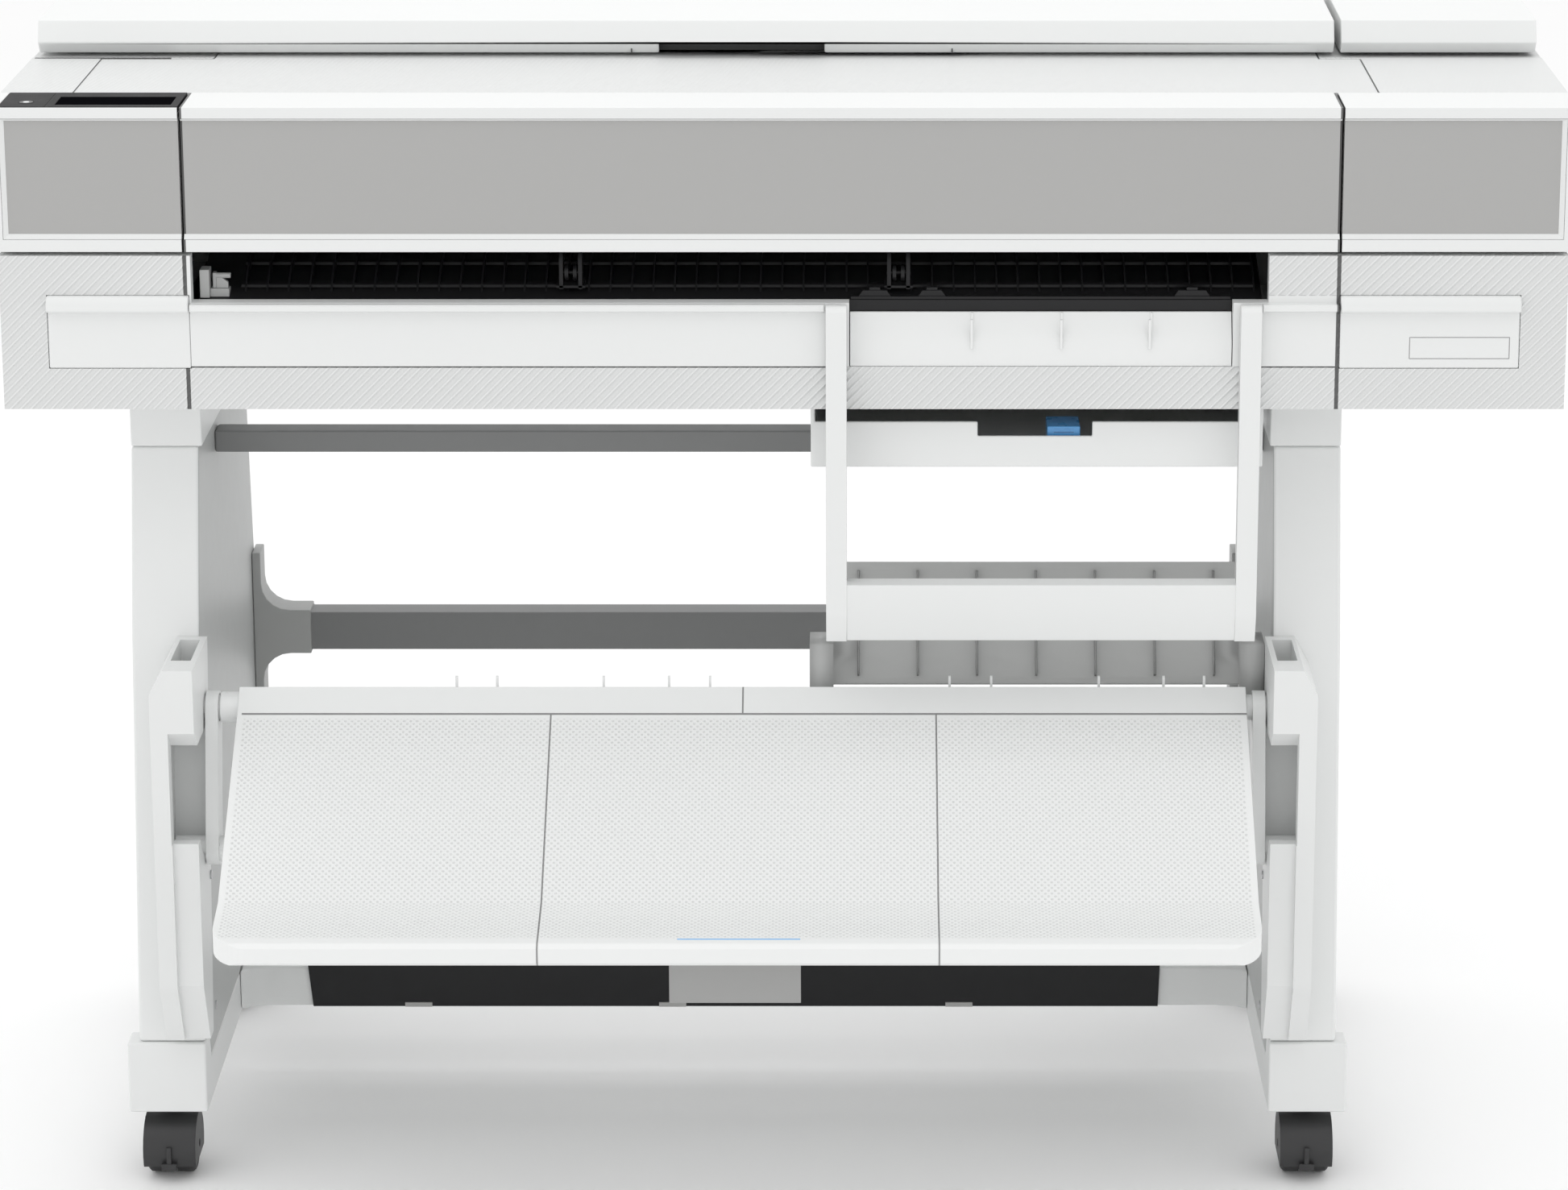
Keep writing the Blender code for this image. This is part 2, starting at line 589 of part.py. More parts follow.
def make_paper_path():
    left, right = SLOT_LEFT + 0.004, SLOT_RIGHT - 0.004
    front = BODY_FRONT + FRONT_WALL + 0.001
    outline = [(front, Z_SILL - 0.012), (ROLLER_Y - ROLLER_RADIUS - 0.003, PLATEN_TOP - 0.030),
               (ROLLER_Y - ROLLER_RADIUS - 0.003, PLATEN_TOP), (-0.055, PLATEN_TOP),
               (front, Z_SILL - 0.001)]
    platen = plate("platen", outline, left, right, "X", BLACK)
    length = right - left
    profile = [(0.0, 0.004), (0.006, 0.004), (0.006, ROLLER_RADIUS),
               (length - 0.006, ROLLER_RADIUS), (length - 0.006, 0.004), (length, 0.004)]
    turned("feed_roller", profile, (left, ROLLER_Y, ROLLER_Z), BLACK, segments=16)
    wheels = 6
    thin, wheel, width = 0.0025, 0.0075, 0.010
    profile = [(0.0, thin)]
    for i in range(wheels):
        start = length * (i + 0.5) / wheels - width / 2
        profile += [(start, thin), (start, wheel), (start + width, wheel), (start + width, thin)]
    profile.append((length, thin))
    turned("star_wheel_shaft", profile, (left, STAR_Y, STAR_Z), BLACK, segments=12)
    return platen


STAR_Y = -0.108
STAR_Z = Z_BAND + 0.010
RAIL_Y = 0.022
RAIL_LOW = Z_BAND + 0.050
BELT_Z = RAIL_LOW + 0.036
PULLEY_RADIUS = 0.010
CARRIAGE_WIDTH = 0.105
CARRIAGE_X = 0.385


def make_carriage_drive():
    """Rail, carriage, belt loop and its two pulleys, which stand on the rail."""
    left, right = SEAM_LEFT + 0.006, SEAM_RIGHT - 0.006
    box("carriage_rail", (left, RAIL_Y, RAIL_LOW), (right, RAIL_Y + 0.030, RAIL_LOW + 0.030), STEEL)
    half = CARRIAGE_WIDTH / 2
    carriage = box("carriage", (CARRIAGE_X - half, -0.090, STAR_Z + 0.012),
                   (CARRIAGE_X + half, RAIL_Y - GAP, BELT_Z - 0.001), BLACK)
    rider = box("carriage_rider", (CARRIAGE_X - half * 0.7, -0.050, RAIL_LOW + 0.030 + GAP),
                (CARRIAGE_X + half * 0.7, RAIL_Y + 0.0033, BELT_Z + 0.005))
    add(carriage, rider)
    origin_at(carriage, (CARRIAGE_X, RAIL_Y, RAIL_LOW))
    y = RAIL_Y + 0.015
    ends = (left + 0.016, right - 0.016)
    loops = []
    for radius in (PULLEY_RADIUS + 0.0013, PULLEY_RADIUS + GAP):
        loops.append(arc((ends[1], y), radius, -90, 90, 8) + arc((ends[0], y), radius, 90, 270, 8))
    plate("drive_belt", loops[0], BELT_Z - 0.004, BELT_Z + 0.004, "Z", BLACK, holes=[loops[1]])
    for name, x in zip(("idler_pulley", "drive_pulley"), ends):
        base = RAIL_LOW + 0.030 + GAP
        profile = [(0.0, 0.004), (BELT_Z - 0.005 - base, 0.004), (BELT_Z - 0.005 - base, PULLEY_RADIUS),
                   (BELT_Z + 0.005 - base, PULLEY_RADIUS)]
        turned(name, profile, (x, y, base), STEEL, axis="Z", segments=16)


def make_electronics():
    low = Z_BODY + WALL + GAP
    return box("electronics_box", (-0.430, 0.170, low), (-0.130, Y_REAR - WALL - 0.002, low + 0.055), STEEL)


# ---- sheet tray, output frame and chute -----------------------------------------------------
def make_sheet_tray():
    low = Z_BODY - TRAY_HEIGHT - GAP
    front = BODY_FRONT + 0.020
    right = TRAY_LEFT + TRAY_WIDTH
    wall = 0.0035
    tray = box("sheet_tray", (TRAY_LEFT, front, low), (right, front + TRAY_DEPTH, Z_BODY - GAP), WHITE)
    hollow = box("tray_hollow", (TRAY_LEFT + wall, front + wall, low + wall),
                 (right - wall, front + TRAY_DEPTH - wall, Z_BODY + wall))
    lip = box("tray_lip", (TRAY_LEFT + wall, front - wall, low + 0.0395),
              (right - wall, front + 2 * wall, Z_BODY + wall))
    grip = box("tray_grip", (0.163, front - wall, low + 0.027), (0.2598, front + 2 * wall, low + 0.045))
    cut(tray, hollow, lip, grip)
    base = low + wall + GAP
    guide_left = TRAY_LEFT + 0.200
    guide = box("tray_guide", (guide_left, front + wall + 0.003, base),
                (guide_left + 0.028, front + 0.042, base + 0.030), BLUE)
    return origin_at(guide, (0.236, front + 0.02, base))


FRAME_PIVOT = (0.0, BODY_FRONT - 0.0085, Z_SILL - 0.006)


def make_output_frame():
    """A hanging frame that carries small sheets; it swings about its two top pivots."""
    y, z = FRAME_PIVOT[1:]
    front, rear = y - 0.0065, y + 0.0065
    low = z - FRAME_DROP
    side = [*arc((y, z), 0.0065, 0, 180, 6), (front, low + 0.024), (rear - 0.004, low), (rear + 0.010, low),
            (rear + 0.010, low + 0.045), (rear, low + 0.052)]
    right = FRAME_LEFT + FRAME_WIDTH
    frame = plate("output_frame", side, FRAME_LEFT, FRAME_LEFT + FRAME_BAR, "X", WHITE)
    other = plate("frame_side", side, right - FRAME_BAR, right, "X")
    bar = plate("frame_bar", [(front + 0.001, low + 0.052), (front + 0.001, low + 0.024),
                              (rear - 0.004, low + 0.001),
                              (rear + 0.009, low + 0.001), (rear + 0.009, low + 0.052)],
                FRAME_LEFT + FRAME_BAR / 2, right - FRAME_BAR / 2, "X")
    add(frame, bar, other)
    return origin_at(frame, FRAME_PIVOT)


def make_sheet_chute():
    """A curved apron with ribs, behind the stacker's tube."""
    left, right = FRAME_LEFT + 0.0015, FRAME_LEFT + FRAME_WIDTH - 0.001
    top, low = 0.5345, UPPER_TUBE_Z + 0.009
    centre = (-0.231, top + 0.030)
    radius = 0.205
    end = math.degrees(math.asin((low - centre[1]) / radius))
    outer = arc(centre, radius, -8, end, 8)
    inner = arc(centre, radius - 0.003, end, -8, 8)
    chute = plate("sheet_chute", outer + inner, left, right, "X", GREY)
    pieces = []
    ribs = 7
    rib_inner = arc(centre, radius - 0.009, end + 2, -10, 8)
    rib_outer = arc(centre, radius - 0.001, -10, end + 2, 8)
    for i in range(ribs):
        x = left + (right - left) * (i + 0.5) / ribs
        pieces.append(plate(f"chute_rib_{i}", rib_outer + rib_inner, x - 0.001, x + 0.001, "X"))
    front = UPPER_TUBE_Y + TUBE_RADIUS + 0.0115
    for name, x0, x1 in (("block_left", left - 0.0165, left + 0.004),
                         ("block_right", right - 0.004, right + 0.0165)):
        outline = [(front, 0.425), (-0.062, 0.425), (-0.048, 0.478), (front, 0.478)]
        pieces.append(plate(name, outline, x0, x1, "X"))
    pieces.append(box("chute_tab", (right + 0.010, -0.072, 0.432),
                      (STAND_X + LEG_INNER - GAP, -0.055, 0.468)))
    return combine(chute, "UNION", pieces, "MANIFOLD")


# ---- stand ----------------------------------------------------------------------------------
def leg_front(z):
    """Where the leg's front edge is at a height."""
    knee_y, knee_z = -0.080, 0.4825
    if z > knee_z:
        return knee_y + (z - knee_z) / (Z_CAP - knee_z) * (LEG_TOP_FRONT - knee_y)
    return knee_y + (knee_z - z) / (knee_z - Z_BLOCK) * (FOOT_FRONT + 0.004 - knee_y)


def leg_rear(z):
    return FOOT_REAR - 0.004 - (z - Z_BLOCK) / (Z_CAP - Z_BLOCK) * 0.067


LEG_TOP_FRONT = -0.042


def side_spans(side):
    """X of a leg's inner and outer side; side is -1 for left and 1 for right."""
    return STAND_X + side * LEG_INNER, STAND_X + side * LEG_OUTER


def make_leg(side, word):
    inner, outer = side_spans(side)
    low, high = sorted((inner, outer))
    heights = (Z_CAP - GAP, 0.4825, Z_BLOCK + GAP)
    outline = [(leg_front(z), z) for z in heights]
    outline += [(FOOT_FRONT + 0.030, Z_BLOCK + GAP), (FOOT_FRONT + 0.038, Z_BEAM + GAP),
                (FOOT_REAR - 0.038, Z_BEAM + GAP), (FOOT_REAR - 0.030, Z_BLOCK + GAP)]
    outline += [(leg_rear(z), z) for z in (Z_BLOCK + GAP, Z_CAP - GAP)]
    leg = plate(f"leg_{word}", outline, low, high, "X", WHITE)
    cap_in = inner - side * 0.003
    cap = box(f"leg_cap_{word}", (min(cap_in, outer), LEG_TOP_FRONT - 0.001, Z_CAP),
              (max(cap_in, outer), leg_rear(Z_CAP) + 0.001, Z_BODY - GAP), WHITE)
    return leg, cap


def make_foot(side, word):
    inner, outer = side_spans(side)
    flared = outer + side * FOOT_FLARE
    low, high = sorted((inner, flared))
    outline = [(FOOT_FRONT, Z_FOOT), (FOOT_REAR, Z_FOOT), (FOOT_REAR - 0.002, Z_BLOCK),
               (FOOT_REAR - 0.029, Z_BLOCK), (FOOT_REAR - 0.037, Z_BEAM), (FOOT_FRONT + 0.037, Z_BEAM),
               (FOOT_FRONT + 0.029, Z_BLOCK), (FOOT_FRONT + 0.002, Z_BLOCK)]
    return plate(f"foot_{word}", outline, low, high, "X", WHITE)


MID_BEAM_Y = 0.283
MID_BEAM_Z = 0.359
MID_BEAM_HEIGHT = 0.0366
BRACKET_REACH = 0.0536
UPPER_BEAM_Y = 0.058
UPPER_BEAM_Z = 0.612
CROSSBAR_Y = 0.113
CROSSBAR_HEIGHT = 0.038


def make_beams():
    inner = LEG_INNER - GAP
    left, right = STAND_X - inner, STAND_X + inner
    box("upper_beam", (left, UPPER_BEAM_Y, UPPER_BEAM_Z),
        (right, UPPER_BEAM_Y + 0.026, UPPER_BEAM_Z + 0.0195), BEAM_GREY)
    reach = BRACKET_REACH + GAP
    beam = box("mid_beam", (left + reach - 0.01, MID_BEAM_Y, MID_BEAM_Z),
               (right - reach + 0.01, MID_BEAM_Y + BEAM_DEPTH, MID_BEAM_Z + MID_BEAM_HEIGHT), BEAM_GREY)
    low, high = MID_BEAM_Z - 0.003, MID_BEAM_Z + MID_BEAM_HEIGHT + 0.003
    rise = 0.056
    flange = 0.008
    sweep = 0.026
    for side, word in ((-1, "left"), (1, "right")):
        foot = STAND_X + side * inner
        points = [(0.0, low - rise), (flange, low - rise),
                  *arc((flange + sweep, low - sweep), sweep, 180, 90, 5),
                  (BRACKET_REACH, low), (BRACKET_REACH, high),
                  *arc((flange + sweep, high + sweep), sweep, 270, 180, 5), (flange, high + rise),
                  (0.0, high + rise)]
        outline = [(foot - side * a, b) for a, b in points]
        bracket = plate(f"beam_bracket_{word}", outline, MID_BEAM_Y - 0.003,
                        MID_BEAM_Y + BEAM_DEPTH + 0.002, "Y")
        add(beam, bracket)
    bar_low = Z_FOOT + 0.004
    flare = 0.029
    bar = [(left, CROSSBAR_Y - 0.010), (left + 0.010, CROSSBAR_Y - 0.003), (left + flare, CROSSBAR_Y),
           (right - flare, CROSSBAR_Y), (right - 0.010, CROSSBAR_Y - 0.003), (right, CROSSBAR_Y - 0.010),
           (right, CROSSBAR_Y + 0.036), (right - flare, CROSSBAR_Y + 0.028),
           (left + flare, CROSSBAR_Y + 0.028),
           (left, CROSSBAR_Y + 0.036)]
    plate("lower_crossbar", bar, bar_low, bar_low + CROSSBAR_HEIGHT, "Z", WHITE)
    apron = [(left + 0.066, bar_low + 0.0005), (right - 0.082, bar_low + 0.0005),
             (right - 0.080, bar_low + 0.060), (left + 0.060, bar_low + 0.060)]
    plate("apron_plate", apron, CROSSBAR_Y - 0.0028, CROSSBAR_Y - GAP, "Y", BLACK)


def make_arm(side, word):
    """A side arm in front of a leg; it holds the ends of both tubes."""
    outer = STAND_X + side * (LEG_OUTER - ARM_OUTSET)
    inner = outer - side * ARM_WIDTH
    low, high = sorted((inner, outer))
    outline = [(ARM_FRONT, ARM_TOP), (ARM_FRONT, 0.197), (ARM_FRONT + 0.0315, ARM_BOTTOM),
               (leg_front(ARM_BOTTOM) - GAP, ARM_BOTTOM), (leg_front(0.4825) - GAP, 0.4825),
               (leg_front(0.4825) - GAP, ARM_TOP)]
    arm = plate(f"arm_{word}", outline, low, high, "X", WHITE)
    skin = 0.009
    reach = 2 * ARM_WIDTH
    open_low, open_high = sorted((outer - side * skin, outer - side * reach))
    pocket = plate(f"arm_pocket_{word}",
                   [(ARM_FRONT + 0.016, 0.325), (ARM_FRONT + 0.032, LOWER_TUBE_Z),
                    (leg_front(LOWER_TUBE_Z) - 0.014, LOWER_TUBE_Z), (leg_front(0.412) - 0.012, 0.412),
                    (ARM_FRONT + 0.016, 0.412)], open_low, open_high, "X")
    edge = outer + side * skin
    bevel = plate(f"arm_bevel_{word}",
                  [(edge, ARM_TOP - 0.036), (edge, ARM_TOP + skin), (outer - side * 0.012, ARM_TOP + skin),
                   (outer - side * 0.012, ARM_TOP), (outer, ARM_TOP - 0.022)],
                  ARM_FRONT - skin, leg_front(0.4825) + skin, "Y")
    top_low, top_high = sorted((outer - side * 0.0155, inner + side * 0.005))
    well = box(f"arm_well_{word}", (top_low, ARM_FRONT + 0.030, 0.4535),
               (top_high, leg_front(0.4825) - 0.010, ARM_TOP + skin))
    upper = rod(f"upper_bore_{word}", (inner, UPPER_TUBE_Y, UPPER_TUBE_Z), TUBE_RADIUS + GAP,
                2 * (ARM_WIDTH - skin), "X")
    lower = rod(f"lower_bore_{word}", (inner, LOWER_TUBE_Y, LOWER_TUBE_Z), TUBE_RADIUS + GAP,
                2 * (ARM_WIDTH - skin), "X")
    return cut(arm, pocket, bevel, well, upper, lower)


LINK_WIDTH = 0.011


def make_tubes():
    """The hinge tube of the platform, and a lower tube with its two link bars."""
    reach = LEG_OUTER - ARM_OUTSET - 0.012
    rod("upper_tube", (STAND_X, UPPER_TUBE_Y, UPPER_TUBE_Z), TUBE_RADIUS, 2 * reach, "X", WHITE, 16)
    frame = rod("lower_tube", (STAND_X, LOWER_TUBE_Y, LOWER_TUBE_Z), TUBE_RADIUS, 2 * reach, "X", WHITE, 16)
    links = []
    arm_inner = LEG_OUTER - ARM_OUTSET - ARM_WIDTH
    lean = math.degrees(math.atan2(UPPER_TUBE_Y - LOWER_TUBE_Y, UPPER_TUBE_Z - LOWER_TUBE_Z))
    hole = arc((UPPER_TUBE_Y, UPPER_TUBE_Z), TUBE_RADIUS + 3 * GAP, 0, 330, 11)
    outline = (arc((UPPER_TUBE_Y, UPPER_TUBE_Z), 0.0145, -lean, 180 - lean, 8)
               + arc((LOWER_TUBE_Y, LOWER_TUBE_Z), 0.0145, 180 - lean, 360 - lean, 8))
    for side, word in ((-1, "left"), (1, "right")):
        edge = STAND_X + side * (arm_inner - 0.0015)
        low, high = sorted((edge, edge - side * LINK_WIDTH))
        links.append(plate(f"link_bar_{word}", outline, low, high, "X", holes=[hole]))
    return add(frame, *links)


# ---- stacker platform -----------------------------------------------------------------------
def make_platform():
    """The sloping platform, hinged on the upper tube, and the handle under its lip."""
    left, right = PLATFORM_LEFT, PLATFORM_LEFT + PLATFORM_WIDTH
    y, z = UPPER_TUBE_Y, UPPER_TUBE_Z
    lip = y - PLATFORM_REACH
    bend_y = lip + 0.0625
    lip_z, bend_z = 0.3020, 0.3153
    top_rear = (y - 0.002, z + 0.019)
    top_front = (y - 0.0225, z + 0.0013)
    top = [top_rear, top_front, (bend_y, bend_z), (lip + 0.004, lip_z), (lip, lip_z - 0.004)]
    under = [(lip, lip_z - PLATFORM_THICKNESS + 0.003), (lip + 0.003, lip_z - PLATFORM_THICKNESS),
             (bend_y + 0.004, bend_z - PLATFORM_THICKNESS), (y - 0.026, z - 0.0265), (y, z - 0.0165),
             (y + 0.0155, z - 0.0100), (y + 0.0160, z + 0.0080)]
    platform = plate("stacker_platform", top + under, left, right, "X", WHITE)
    boss = rod("platform_boss", (left - 0.007, y, z), 0.0135, 0.018, "X")
    bore = rod("platform_bore", (STAND_X, y, z), TUBE_RADIUS + 2 * GAP, 1.2, "X", segments=16)
    add(platform, boss)
    cut(platform, bore)
    origin_at(platform, (STAND_X, y, z))
    handle_z = bend_z - PLATFORM_THICKNESS - GAP
    x = left + PLATFORM_WIDTH / 2 - 0.003
    pivot = (x, bend_y - 0.004, handle_z - 0.009)
    grip = box("release_handle", (x - 0.055, pivot[1] - 0.004, handle_z - 0.066),
               (x + 0.055, pivot[1], handle_z - 0.012), BEAM_GREY)
    shaft = rod("handle_shaft", pivot, 0.005, 0.153, "X", segments=12)
    neck = box("handle_neck", (x - 0.050, pivot[1] - 0.0035, handle_z - 0.022),
               (x + 0.050, pivot[1] - 0.001, handle_z - 0.008))
    add(grip, shaft, neck)
    return origin_at(grip, pivot)


# ---- casters --------------------------------------------------------------------------------
def make_caster(name, x, y, lever):
    """Hood with stem, a pair of wheels on one axle and, in front, a brake lever."""
    wheel_y = y - CASTER_TRAIL
    centre = (x, wheel_y, WHEEL_RADIUS)
    low = 0.0085
    drop = math.degrees(math.asin((WHEEL_RADIUS - low) / HOOD_RADIUS))
    outline = arc((wheel_y, WHEEL_RADIUS), HOOD_RADIUS, -drop, 180 + drop, 16)
    hood = plate(f"caster_hood_{name}", outline, x - HOOD_WIDTH / 2, x + HOOD_WIDTH / 2, "X", BLACK)
    wells = []
    cover = HOOD_WIDTH / 2 - 0.0012
    web = 0.0045
    for side in (-1, 1):
        middle = x + side * (cover + web) / 2
        wells.append(rod(f"well_{name}_{len(wells)}", (middle, wheel_y, WHEEL_RADIUS),
                         WHEEL_RADIUS + 0.0012, cover - web, "X"))
    bore = rod(f"axle_bore_{name}", centre, 0.0037, HOOD_WIDTH, "X", segments=12)
    opening = box(f"hood_open_{name}", (x - HOOD_WIDTH, wheel_y - 0.0262, -0.01),
                  (x + HOOD_WIDTH, wheel_y + 0.0262, WHEEL_RADIUS - 0.012))
    keep = box(f"hood_web_{name}", (x - web, wheel_y - 0.012, low + 0.002),
               (x + web, wheel_y + 0.012, WHEEL_RADIUS))
    stem = rod(f"stem_{name}", (x, y, Z_FOOT - GAP - 0.0075), 0.0075, 0.015, "Z",
               segments=12)
    add(hood, stem)
    cut(hood, *wells, opening)
    add(hood, keep)
    cut(hood, bore)
    origin_at(hood, (x, y, Z_FOOT))
    inner, outer = web + 0.0006, web + 0.0006 + WHEEL_WIDTH
    edge = 0.0025
    half = [(-outer, 0.020), (-outer, WHEEL_RADIUS - edge), (-outer + edge, WHEEL_RADIUS),
            (-inner, WHEEL_RADIUS),
            (-inner, 0.0034)]
    profile = half + [(-a, r) for a, r in reversed(half)]
    turned(f"caster_wheels_{name}", profile, centre, BLACK, segments=24)
    if lever:
        pivot = (x, wheel_y - HOOD_RADIUS - 0.002, WHEEL_RADIUS + 0.008)
        blade = box(f"brake_lever_{name}", (x - 0.002, pivot[1] - 0.0010, 0.0155),
                    (x + 0.002, pivot[1] + 0.0012, pivot[2]), BLACK)
        pad = box(f"lever_pad_{name}", (x - 0.0065, pivot[1] - 0.0015, 0.012),
                  (x + 0.0065, pivot[1] + 0.0015, 0.018))
        add(blade, pad)
        origin_at(blade, pivot)
    return hood


def make_casters():
    middle = (LEG_INNER + LEG_OUTER) / 2 + FOOT_FLARE / 2
    for side, word in ((-1, "left"), (1, "right")):
        x = STAND_X + side * middle
        make_caster(f"front_{word}", x, FOOT_FRONT + CASTER_INSET, True)
        make_caster(f"rear_{word}", x, FOOT_REAR - CASTER_INSET, False)


def main():
    make_lower_housing()
    make_power_inlet()
    make_side_doors()
    make_sheet_flap()
    make_end_shells()
    make_display()
    make_panels()
    make_ink_cartridges()
    make_front_cover()
    make_roll_bay()
    make_roll_covers()
    make_paper_path()
    make_carriage_drive()
    make_electronics()
    make_sheet_tray()
    make_output_frame()
    make_sheet_chute()
    for side, word in ((-1, "left"), (1, "right")):
        make_leg(side, word)
        make_foot(side, word)
        make_arm(side, word)
    make_beams()
    make_tubes()
    make_platform()
    make_casters()


main()
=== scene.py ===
"""Studio scene of the large format plotter: CAD nodes rounded and finished, with added detail."""

import math

import bmesh
import bpy
from mathutils import Matrix, Vector


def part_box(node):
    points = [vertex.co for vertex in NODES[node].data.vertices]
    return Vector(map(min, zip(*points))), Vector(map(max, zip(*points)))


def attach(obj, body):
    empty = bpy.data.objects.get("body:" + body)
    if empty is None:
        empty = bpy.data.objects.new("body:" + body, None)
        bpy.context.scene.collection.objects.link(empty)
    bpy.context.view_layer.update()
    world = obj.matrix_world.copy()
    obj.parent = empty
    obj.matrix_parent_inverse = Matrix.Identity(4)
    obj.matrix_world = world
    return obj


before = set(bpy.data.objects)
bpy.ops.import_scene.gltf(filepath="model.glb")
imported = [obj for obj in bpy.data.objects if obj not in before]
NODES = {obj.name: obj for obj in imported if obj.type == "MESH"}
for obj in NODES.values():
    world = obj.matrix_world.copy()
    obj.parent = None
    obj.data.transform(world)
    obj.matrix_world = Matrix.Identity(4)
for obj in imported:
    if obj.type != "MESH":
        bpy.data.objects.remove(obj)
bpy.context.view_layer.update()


# ---- key places, read from the CAD ----------------------------------------------------------
BAND_LOW, BAND_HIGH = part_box("front_cover")
PANEL_LOW, PANEL_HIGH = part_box("cover_panel")
HOUSE_LOW, HOUSE_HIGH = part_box("lower_housing")
PLATEN_LOW, PLATEN_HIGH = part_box("platen")
TRAY_LOW, TRAY_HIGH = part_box("stacker_platform")
DOOR_LOW, DOOR_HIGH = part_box("ink_door")
FACE = BAND_LOW.y
Z_TOP = BAND_HIGH.z
SEAM_L, SEAM_R = PANEL_LOW.x, PANEL_HIGH.x


# ---- node graph helpers ---------------------------------------------------------------------
class Graph:
    """Small helper around a material's node tree."""

    def __init__(self, name):
        self.material = bpy.data.materials.new(name)
        self.material.use_nodes = True
        self.tree = self.material.node_tree
        self.shader = self.tree.nodes["Principled BSDF"]
        coordinates = self.tree.nodes.new("ShaderNodeTexCoord")
        split = self.tree.nodes.new("ShaderNodeSeparateXYZ")
        self.point = coordinates.outputs["Object"]
        self.link(self.point, split.inputs[0])
        self.x, self.y, self.z = split.outputs

    def link(self, source, target):
        self.tree.links.new(source, target)

    def put(self, value, socket):
        if isinstance(value, bpy.types.NodeSocket):
            self.link(value, socket)
        else:
            socket.default_value = value

    def math(self, operation, a, b=0.0, c=0.0):
        node = self.tree.nodes.new("ShaderNodeMath")
        node.operation = operation
        for value, socket in zip((a, b, c), node.inputs):
            self.put(value, socket)
        return node.outputs[0]

    def length(self, a, b):
        return self.math("SQRT", self.math("ADD", self.math("MULTIPLY", a, a), self.math("MULTIPLY", b, b)))

    def near(self, value, centre, half, soft=0.0002):
        """1 where value is within half of centre, falling to 0 over soft."""
        away = self.math("ABSOLUTE", self.math("SUBTRACT", value, centre))
        node = self.tree.nodes.new("ShaderNodeMapRange")
        node.interpolation_type = "SMOOTHSTEP"
        self.put(away, node.inputs["Value"])
        node.inputs["From Min"].default_value = half + soft
        node.inputs["From Max"].default_value = max(half - soft, 0.0)
        return node.outputs[0]

    def area(self, spans):
        """1 inside a box given as axis to (low, high)."""
        result = 1.0
        for axis, (low, high) in spans.items():
            value = getattr(self, axis)
            result = self.math("MULTIPLY", result, self.near(value, (low + high) / 2, (high - low) / 2))
        return result

    def noise(self, scale, detail=3.0, roughness=0.55):
        node = self.tree.nodes.new("ShaderNodeTexNoise")
        self.link(self.point, node.inputs["Vector"])
        node.inputs["Scale"].default_value = scale
        node.inputs["Detail"].default_value = detail
        node.inputs["Roughness"].default_value = roughness
        return node.outputs[0]

    def mix(self, amount, low, high):
        node = self.tree.nodes.new("ShaderNodeMix")
        node.data_type = "RGBA"
        self.put(amount, node.inputs[0])
        for value, socket in ((low, node.inputs[6]), (high, node.inputs[7])):
            if isinstance(value, bpy.types.NodeSocket):
                self.link(value, socket)
            else:
                socket.default_value = (*value, 1.0)
        return node.outputs[2]

    def bump(self, height, distance, strength=1.0, normal=None):
        node = self.tree.nodes.new("ShaderNodeBump")
        node.inputs["Strength"].default_value = strength
        node.inputs["Distance"].default_value = distance
        self.link(height, node.inputs["Height"])
        if normal is not None:
            self.link(normal, node.inputs["Normal"])
        return node.outputs[0]

    def wave(self, value, pitch):
        """Soft ridges across value, from 0 to 1."""
        turn = self.math("MULTIPLY", value, 2 * math.pi / pitch)
        return self.math("POWER", self.math("MULTIPLY_ADD", self.math("SINE", turn), 0.5, 0.5), 2.0)


def finish(name, colour, roughness=0.42, metallic=0.0, grain=0.00004, grain_scale=2600.0, coat=0.0,
           shine=0.5, marks=(), mark_colour=(0.06, 0.06, 0.06), ridges=None, spots=None, extra=None):
    """Plastic or painted finish: fine grain, slow tint variation, drawn seams, ridges and dots; the ridge
    valleys and dot hollows get painted shade in the base colour.
    """
    g = Graph(name)
    tint = g.noise(5.0, 4.0)
    base = g.mix(g.math("MULTIPLY", tint, 0.5), colour, tuple(c * 0.955 for c in colour))
    height = g.noise(grain_scale, 2.0)
    normal = g.bump(height, grain)
    rough = g.math("ADD", roughness - 0.05, g.math("MULTIPLY", g.noise(60.0, 4.0), 0.1))
    if ridges:
        field, distance, shade = ridges(g)
        normal = g.bump(field, distance, normal=normal)
        # painted shade: the base colour darkens towards the ridge valleys, by the returned shade amount
        base = g.mix(g.math("MULTIPLY", g.math("SUBTRACT", 1.0, field), shade), base,
                     tuple(c * 0.55 for c in colour))
    if spots:
        field, distance, shade = spots(g)
        normal = g.bump(field, distance, normal=normal)
        # painted shade: the base colour darkens inside the dot hollows
        base = g.mix(g.math("MULTIPLY", g.math("SUBTRACT", 1.0, field), shade), base,
                     tuple(c * 0.5 for c in colour))
    if marks:
        total = 0.0
        for spans in marks:
            total = g.math("MAXIMUM", total, g.area(spans))
        base = g.mix(g.math("MULTIPLY", total, 0.88), base, mark_colour)
        normal = g.bump(g.math("SUBTRACT", 1.0, total), 0.0006, normal=normal)
    if extra:
        base = extra(g, base)
    g.link(base, g.shader.inputs["Base Color"])
    g.link(rough, g.shader.inputs["Roughness"])
    g.link(normal, g.shader.inputs["Normal"])
    g.shader.inputs["Metallic"].default_value = metallic
    g.shader.inputs["Coat Weight"].default_value = coat
    g.shader.inputs["Specular IOR Level"].default_value = shine
    return g.material


